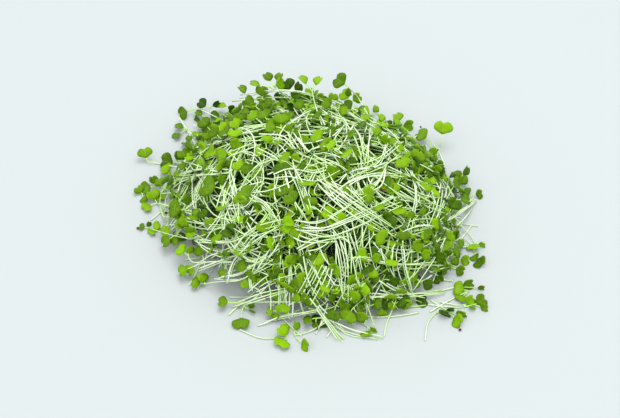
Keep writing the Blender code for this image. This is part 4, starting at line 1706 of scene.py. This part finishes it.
class KaleSizes(bpy.types.PropertyGroup):
    hull_radius: FloatProperty(
        name="Hull radius",
        description="Radius of a seed hull",
        default=HULL_RADIUS,
        min=0.0005,
        max=0.002,
        unit="LENGTH",
    )
    fill_sheaves: count_setting(
        "Fill sheaves", "How many sheaves of seedlings fill the mound", FILL_SHEAVES, 200
    )
    fill_singles: count_setting(
        "Fill singles", "How many single seedlings fill the mound", FILL_SINGLES, 400
    )
    fill_heads: count_setting(
        "Fill heads", "How many seedlings have leaves at the mound's surface", FILL_HEADS, 600
    )


class KaleStage(bpy.types.PropertyGroup):
    floor_colour: colour_setting("Floor", "Colour of the floor", (0.428, 0.455, 0.452))
    floor_size: FloatProperty(
        name="Floor size",
        description="Side of the square floor",
        default=8.0,
        min=1.0,
        unit="LENGTH",
    )
    sky_strength: FloatProperty(
        name="Sky strength",
        description="Strength of the even light from all round",
        default=1.32,
        min=0.0,
    )
    window_power: FloatProperty(
        name="Soft light power",
        description="Power of the large soft light over the heap",
        default=14.0,
        min=0.0,
        unit="POWER",
    )


# One operator for each piece or group of like pieces


def room_taken():
    """The room that the tufts take."""
    taken = {}
    for seedlings in grow_tufts():
        for seedling in seedlings:
            note_room(beads_of(seedling), taken)
    return taken


def bench(context):
    """What growing seedlings takes: the leaf and stem materials, and the masters."""
    colours = context.scene.kale_colours
    return [leaf_material(colours), stem_material(colours)], all_masters()


def finished(made):
    """A piece that rides on the heap's only body."""
    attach(made, TUFT_BODY)
    return made


class KALE_OT_dress_tufts(bpy.types.Operator):
    """Gives each tuft its fine seedlings, lying where its solid lies"""

    bl_idname = "kale.dress_tufts"
    bl_label = "Dress the Tufts"

    def execute(self, context):
        materials, masters = bench(context)
        rng = random.Random(TUFT_SEED)
        for number, seedlings in enumerate(grow_tufts(), start=1):
            node = f"tuft_{number:02d}"
            bunch = Bunch()
            for seedling in seedlings:
                pressed = max(point.z for point in seedling["line"]) < ON_FLOOR
                add_seedling(bunch, rng, masters, seedling, pressed)
            made = finished(bunch.piece(node + "_seedlings", materials))
            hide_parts(node)
        return {"FINISHED"}


class KALE_OT_stand_sprigs(bpy.types.Operator):
    """Stands the seedlings that show at the heap's surface and edge"""

    bl_idname = "kale.stand_sprigs"
    bl_label = "Stand the Sprigs"

    def execute(self, context):
        materials, masters = bench(context)
        rng = random.Random(SPRIG_SEED)
        bunch = Bunch()
        for row in SPRIGS:
            add_seedling(bunch, rng, masters, sprig(*row))
        finished(bunch.piece("sprigs", materials))
        return {"FINISHED"}


class KALE_OT_lay_sheaves(bpy.types.Operator):
    """Lays the sheaves of stems that show at the heap's surface"""

    bl_idname = "kale.lay_sheaves"
    bl_label = "Lay the Sheaves"

    def execute(self, context):
        materials, masters = bench(context)
        rng = random.Random(SHEAF_SEED)
        bunch = Bunch()
        for row in SHEAVES:
            for line in sheaf(rng, *row):
                tone = SHEAF_TONE * rng.random() ** SHEAF_TONE_POWER
                add_stem(bunch, rng, masters, line, tone)
        finished(bunch.piece("sheaves", materials))
        rng = random.Random(STRAND_SEED)
        bunch = Bunch()
        for line in strands(rng):
            tone = STRAND_TONE * rng.random() ** STRAND_TONE_POWER
            add_stem(bunch, rng, masters, line, tone)
        finished(bunch.piece("strands", materials))
        return {"FINISHED"}


class KALE_OT_fill_mound(bpy.types.Operator):
    """Fills the mound's outer room with more seedlings, in sheaves and singly"""

    bl_idname = "kale.fill_mound"
    bl_label = "Fill the Mound"

    def execute(self, context):
        materials, masters = bench(context)
        rng = random.Random(FILL_SEED)
        seedlings = fill_seedlings(rng, context.scene.kale_sizes, room_taken())
        bunches = [Bunch() for _ in range(FILL_GROUPS)]
        for seedling in seedlings:
            middle = seedling["line"][len(seedling["line"]) // 2]
            turn = math.atan2(middle.y, middle.x) / (2.0 * math.pi) + 0.5
            group = min(int(turn * FILL_GROUPS), FILL_GROUPS - 1)
            add_seedling(bunches[group], rng, masters, seedling)
        for number, bunch in enumerate(bunches, start=1):
            finished(bunch.piece(f"fill_{number}", materials))
        return {"FINISHED"}


class KALE_OT_scatter_hulls(bpy.types.Operator):
    """Scatters the few seed hulls that cling to the heap"""

    bl_idname = "kale.scatter_hulls"
    bl_label = "Scatter the Seed Hulls"

    def execute(self, context):
        master = hull_master()
        rng = random.Random(HULL_SEED)
        bunch = Bunch()
        for px, py, lift in HULLS:
            radius = context.scene.kale_sizes.hull_radius * rng.uniform(*HULL_SIZES)
            at = np.array(over_mound(px, py, radius + lift * MILLIMETRE))
            at[2] = max(at[2], radius)
            turned = Matrix.Rotation(rng.uniform(0.0, FULL_TURN), 3, "Z")
            turned = turned @ Matrix.Rotation(rng.uniform(-HULL_TILT, HULL_TILT), 3, "X")
            points = master["points"] @ np.array(turned).T * radius + at
            flat = np.zeros((len(points), 2))
            bunch.add(master, points, 0, flat, rng.random(), flat[:, 0])
        made = bunch.piece("seed_hulls", [hull_material(context.scene.kale_colours)])
        finished(made)
        return {"FINISHED"}


class KALE_OT_set_stage(bpy.types.Operator):
    """Sets the pale floor, the soft light and the camera"""

    bl_idname = "kale.set_stage"
    bl_label = "Set the Stage"

    def execute(self, context):
        scene = context.scene
        settings = scene.kale_stage
        bpy.ops.object.select_all(action="DESELECT")
        bpy.ops.mesh.primitive_plane_add(size=settings.floor_size)
        floor = context.object
        floor.name = "floor"
        floor.data.materials.append(floor_material(settings.floor_colour))
        world = bpy.data.worlds.new("pale_sky")
        world.use_nodes = True
        sky = world.node_tree.nodes["Background"]
        sky.inputs["Color"].default_value = (*SKY_COLOUR, 1.0)
        sky.inputs["Strength"].default_value = settings.sky_strength
        scene.world = world
        for name, place, size, share in LIGHTS:
            lamp = bpy.data.lights.new(name, "AREA")
            lamp.energy = settings.window_power * share
            lamp.size = size
            light = bpy.data.objects.new(name, lamp)
            light.location = place
            light.rotation_euler = (-Vector(place)).to_track_quat("-Z", "Y").to_euler()
            scene.collection.objects.link(light)
        lens = bpy.data.cameras.new("eye")
        lens.lens = LENS_LENGTH
        lens.sensor_width = SENSOR_WIDTH
        camera = bpy.data.objects.new("eye", lens)
        camera.location = EYE
        camera.rotation_euler = (math.pi / 2.0 - EYE_ELEVATION, 0.0, 0.0)
        scene.collection.objects.link(camera)
        scene.camera = camera
        scene.view_settings.view_transform = "Standard"
        return {"FINISHED"}


class KALE_PT_heap(bpy.types.Panel):
    """Lists the steps that build the heap"""

    bl_label = "Kale Microgreens Heap"
    bl_idname = "KALE_PT_heap"
    bl_space_type = "VIEW_3D"
    bl_region_type = "UI"
    bl_category = "Microgreens"

    def draw(self, context):
        layout = self.layout
        scene = context.scene
        for operator in OPERATORS:
            layout.operator(operator.bl_idname)
        for settings in (scene.kale_sizes, scene.kale_colours, scene.kale_stage):
            box = layout.box()
            for label in settings.__annotations__:
                box.prop(settings, label)


OPERATORS = (
    KALE_OT_dress_tufts,
    KALE_OT_stand_sprigs,
    KALE_OT_lay_sheaves,
    KALE_OT_fill_mound,
    KALE_OT_scatter_hulls,
    KALE_OT_set_stage,
)
SETTINGS = (
    ("kale_colours", KaleColours),
    ("kale_sizes", KaleSizes),
    ("kale_stage", KaleStage),
)


def register():
    for label, settings in SETTINGS:
        bpy.utils.register_class(settings)
        setattr(bpy.types.Scene, label, PointerProperty(type=settings))
    for operator in OPERATORS:
        bpy.utils.register_class(operator)
    bpy.utils.register_class(KALE_PT_heap)


def unregister():
    bpy.utils.unregister_class(KALE_PT_heap)
    for operator in reversed(OPERATORS):
        bpy.utils.unregister_class(operator)
    for label, settings in reversed(SETTINGS):
        delattr(bpy.types.Scene, label)
        bpy.utils.unregister_class(settings)


def main():
    register()
    bpy.ops.kale.dress_tufts()
    bpy.ops.kale.stand_sprigs()
    bpy.ops.kale.lay_sheaves()
    bpy.ops.kale.fill_mound()
    bpy.ops.kale.scatter_hulls()
    bpy.ops.kale.set_stage()


if __name__ == "__main__":
    main()
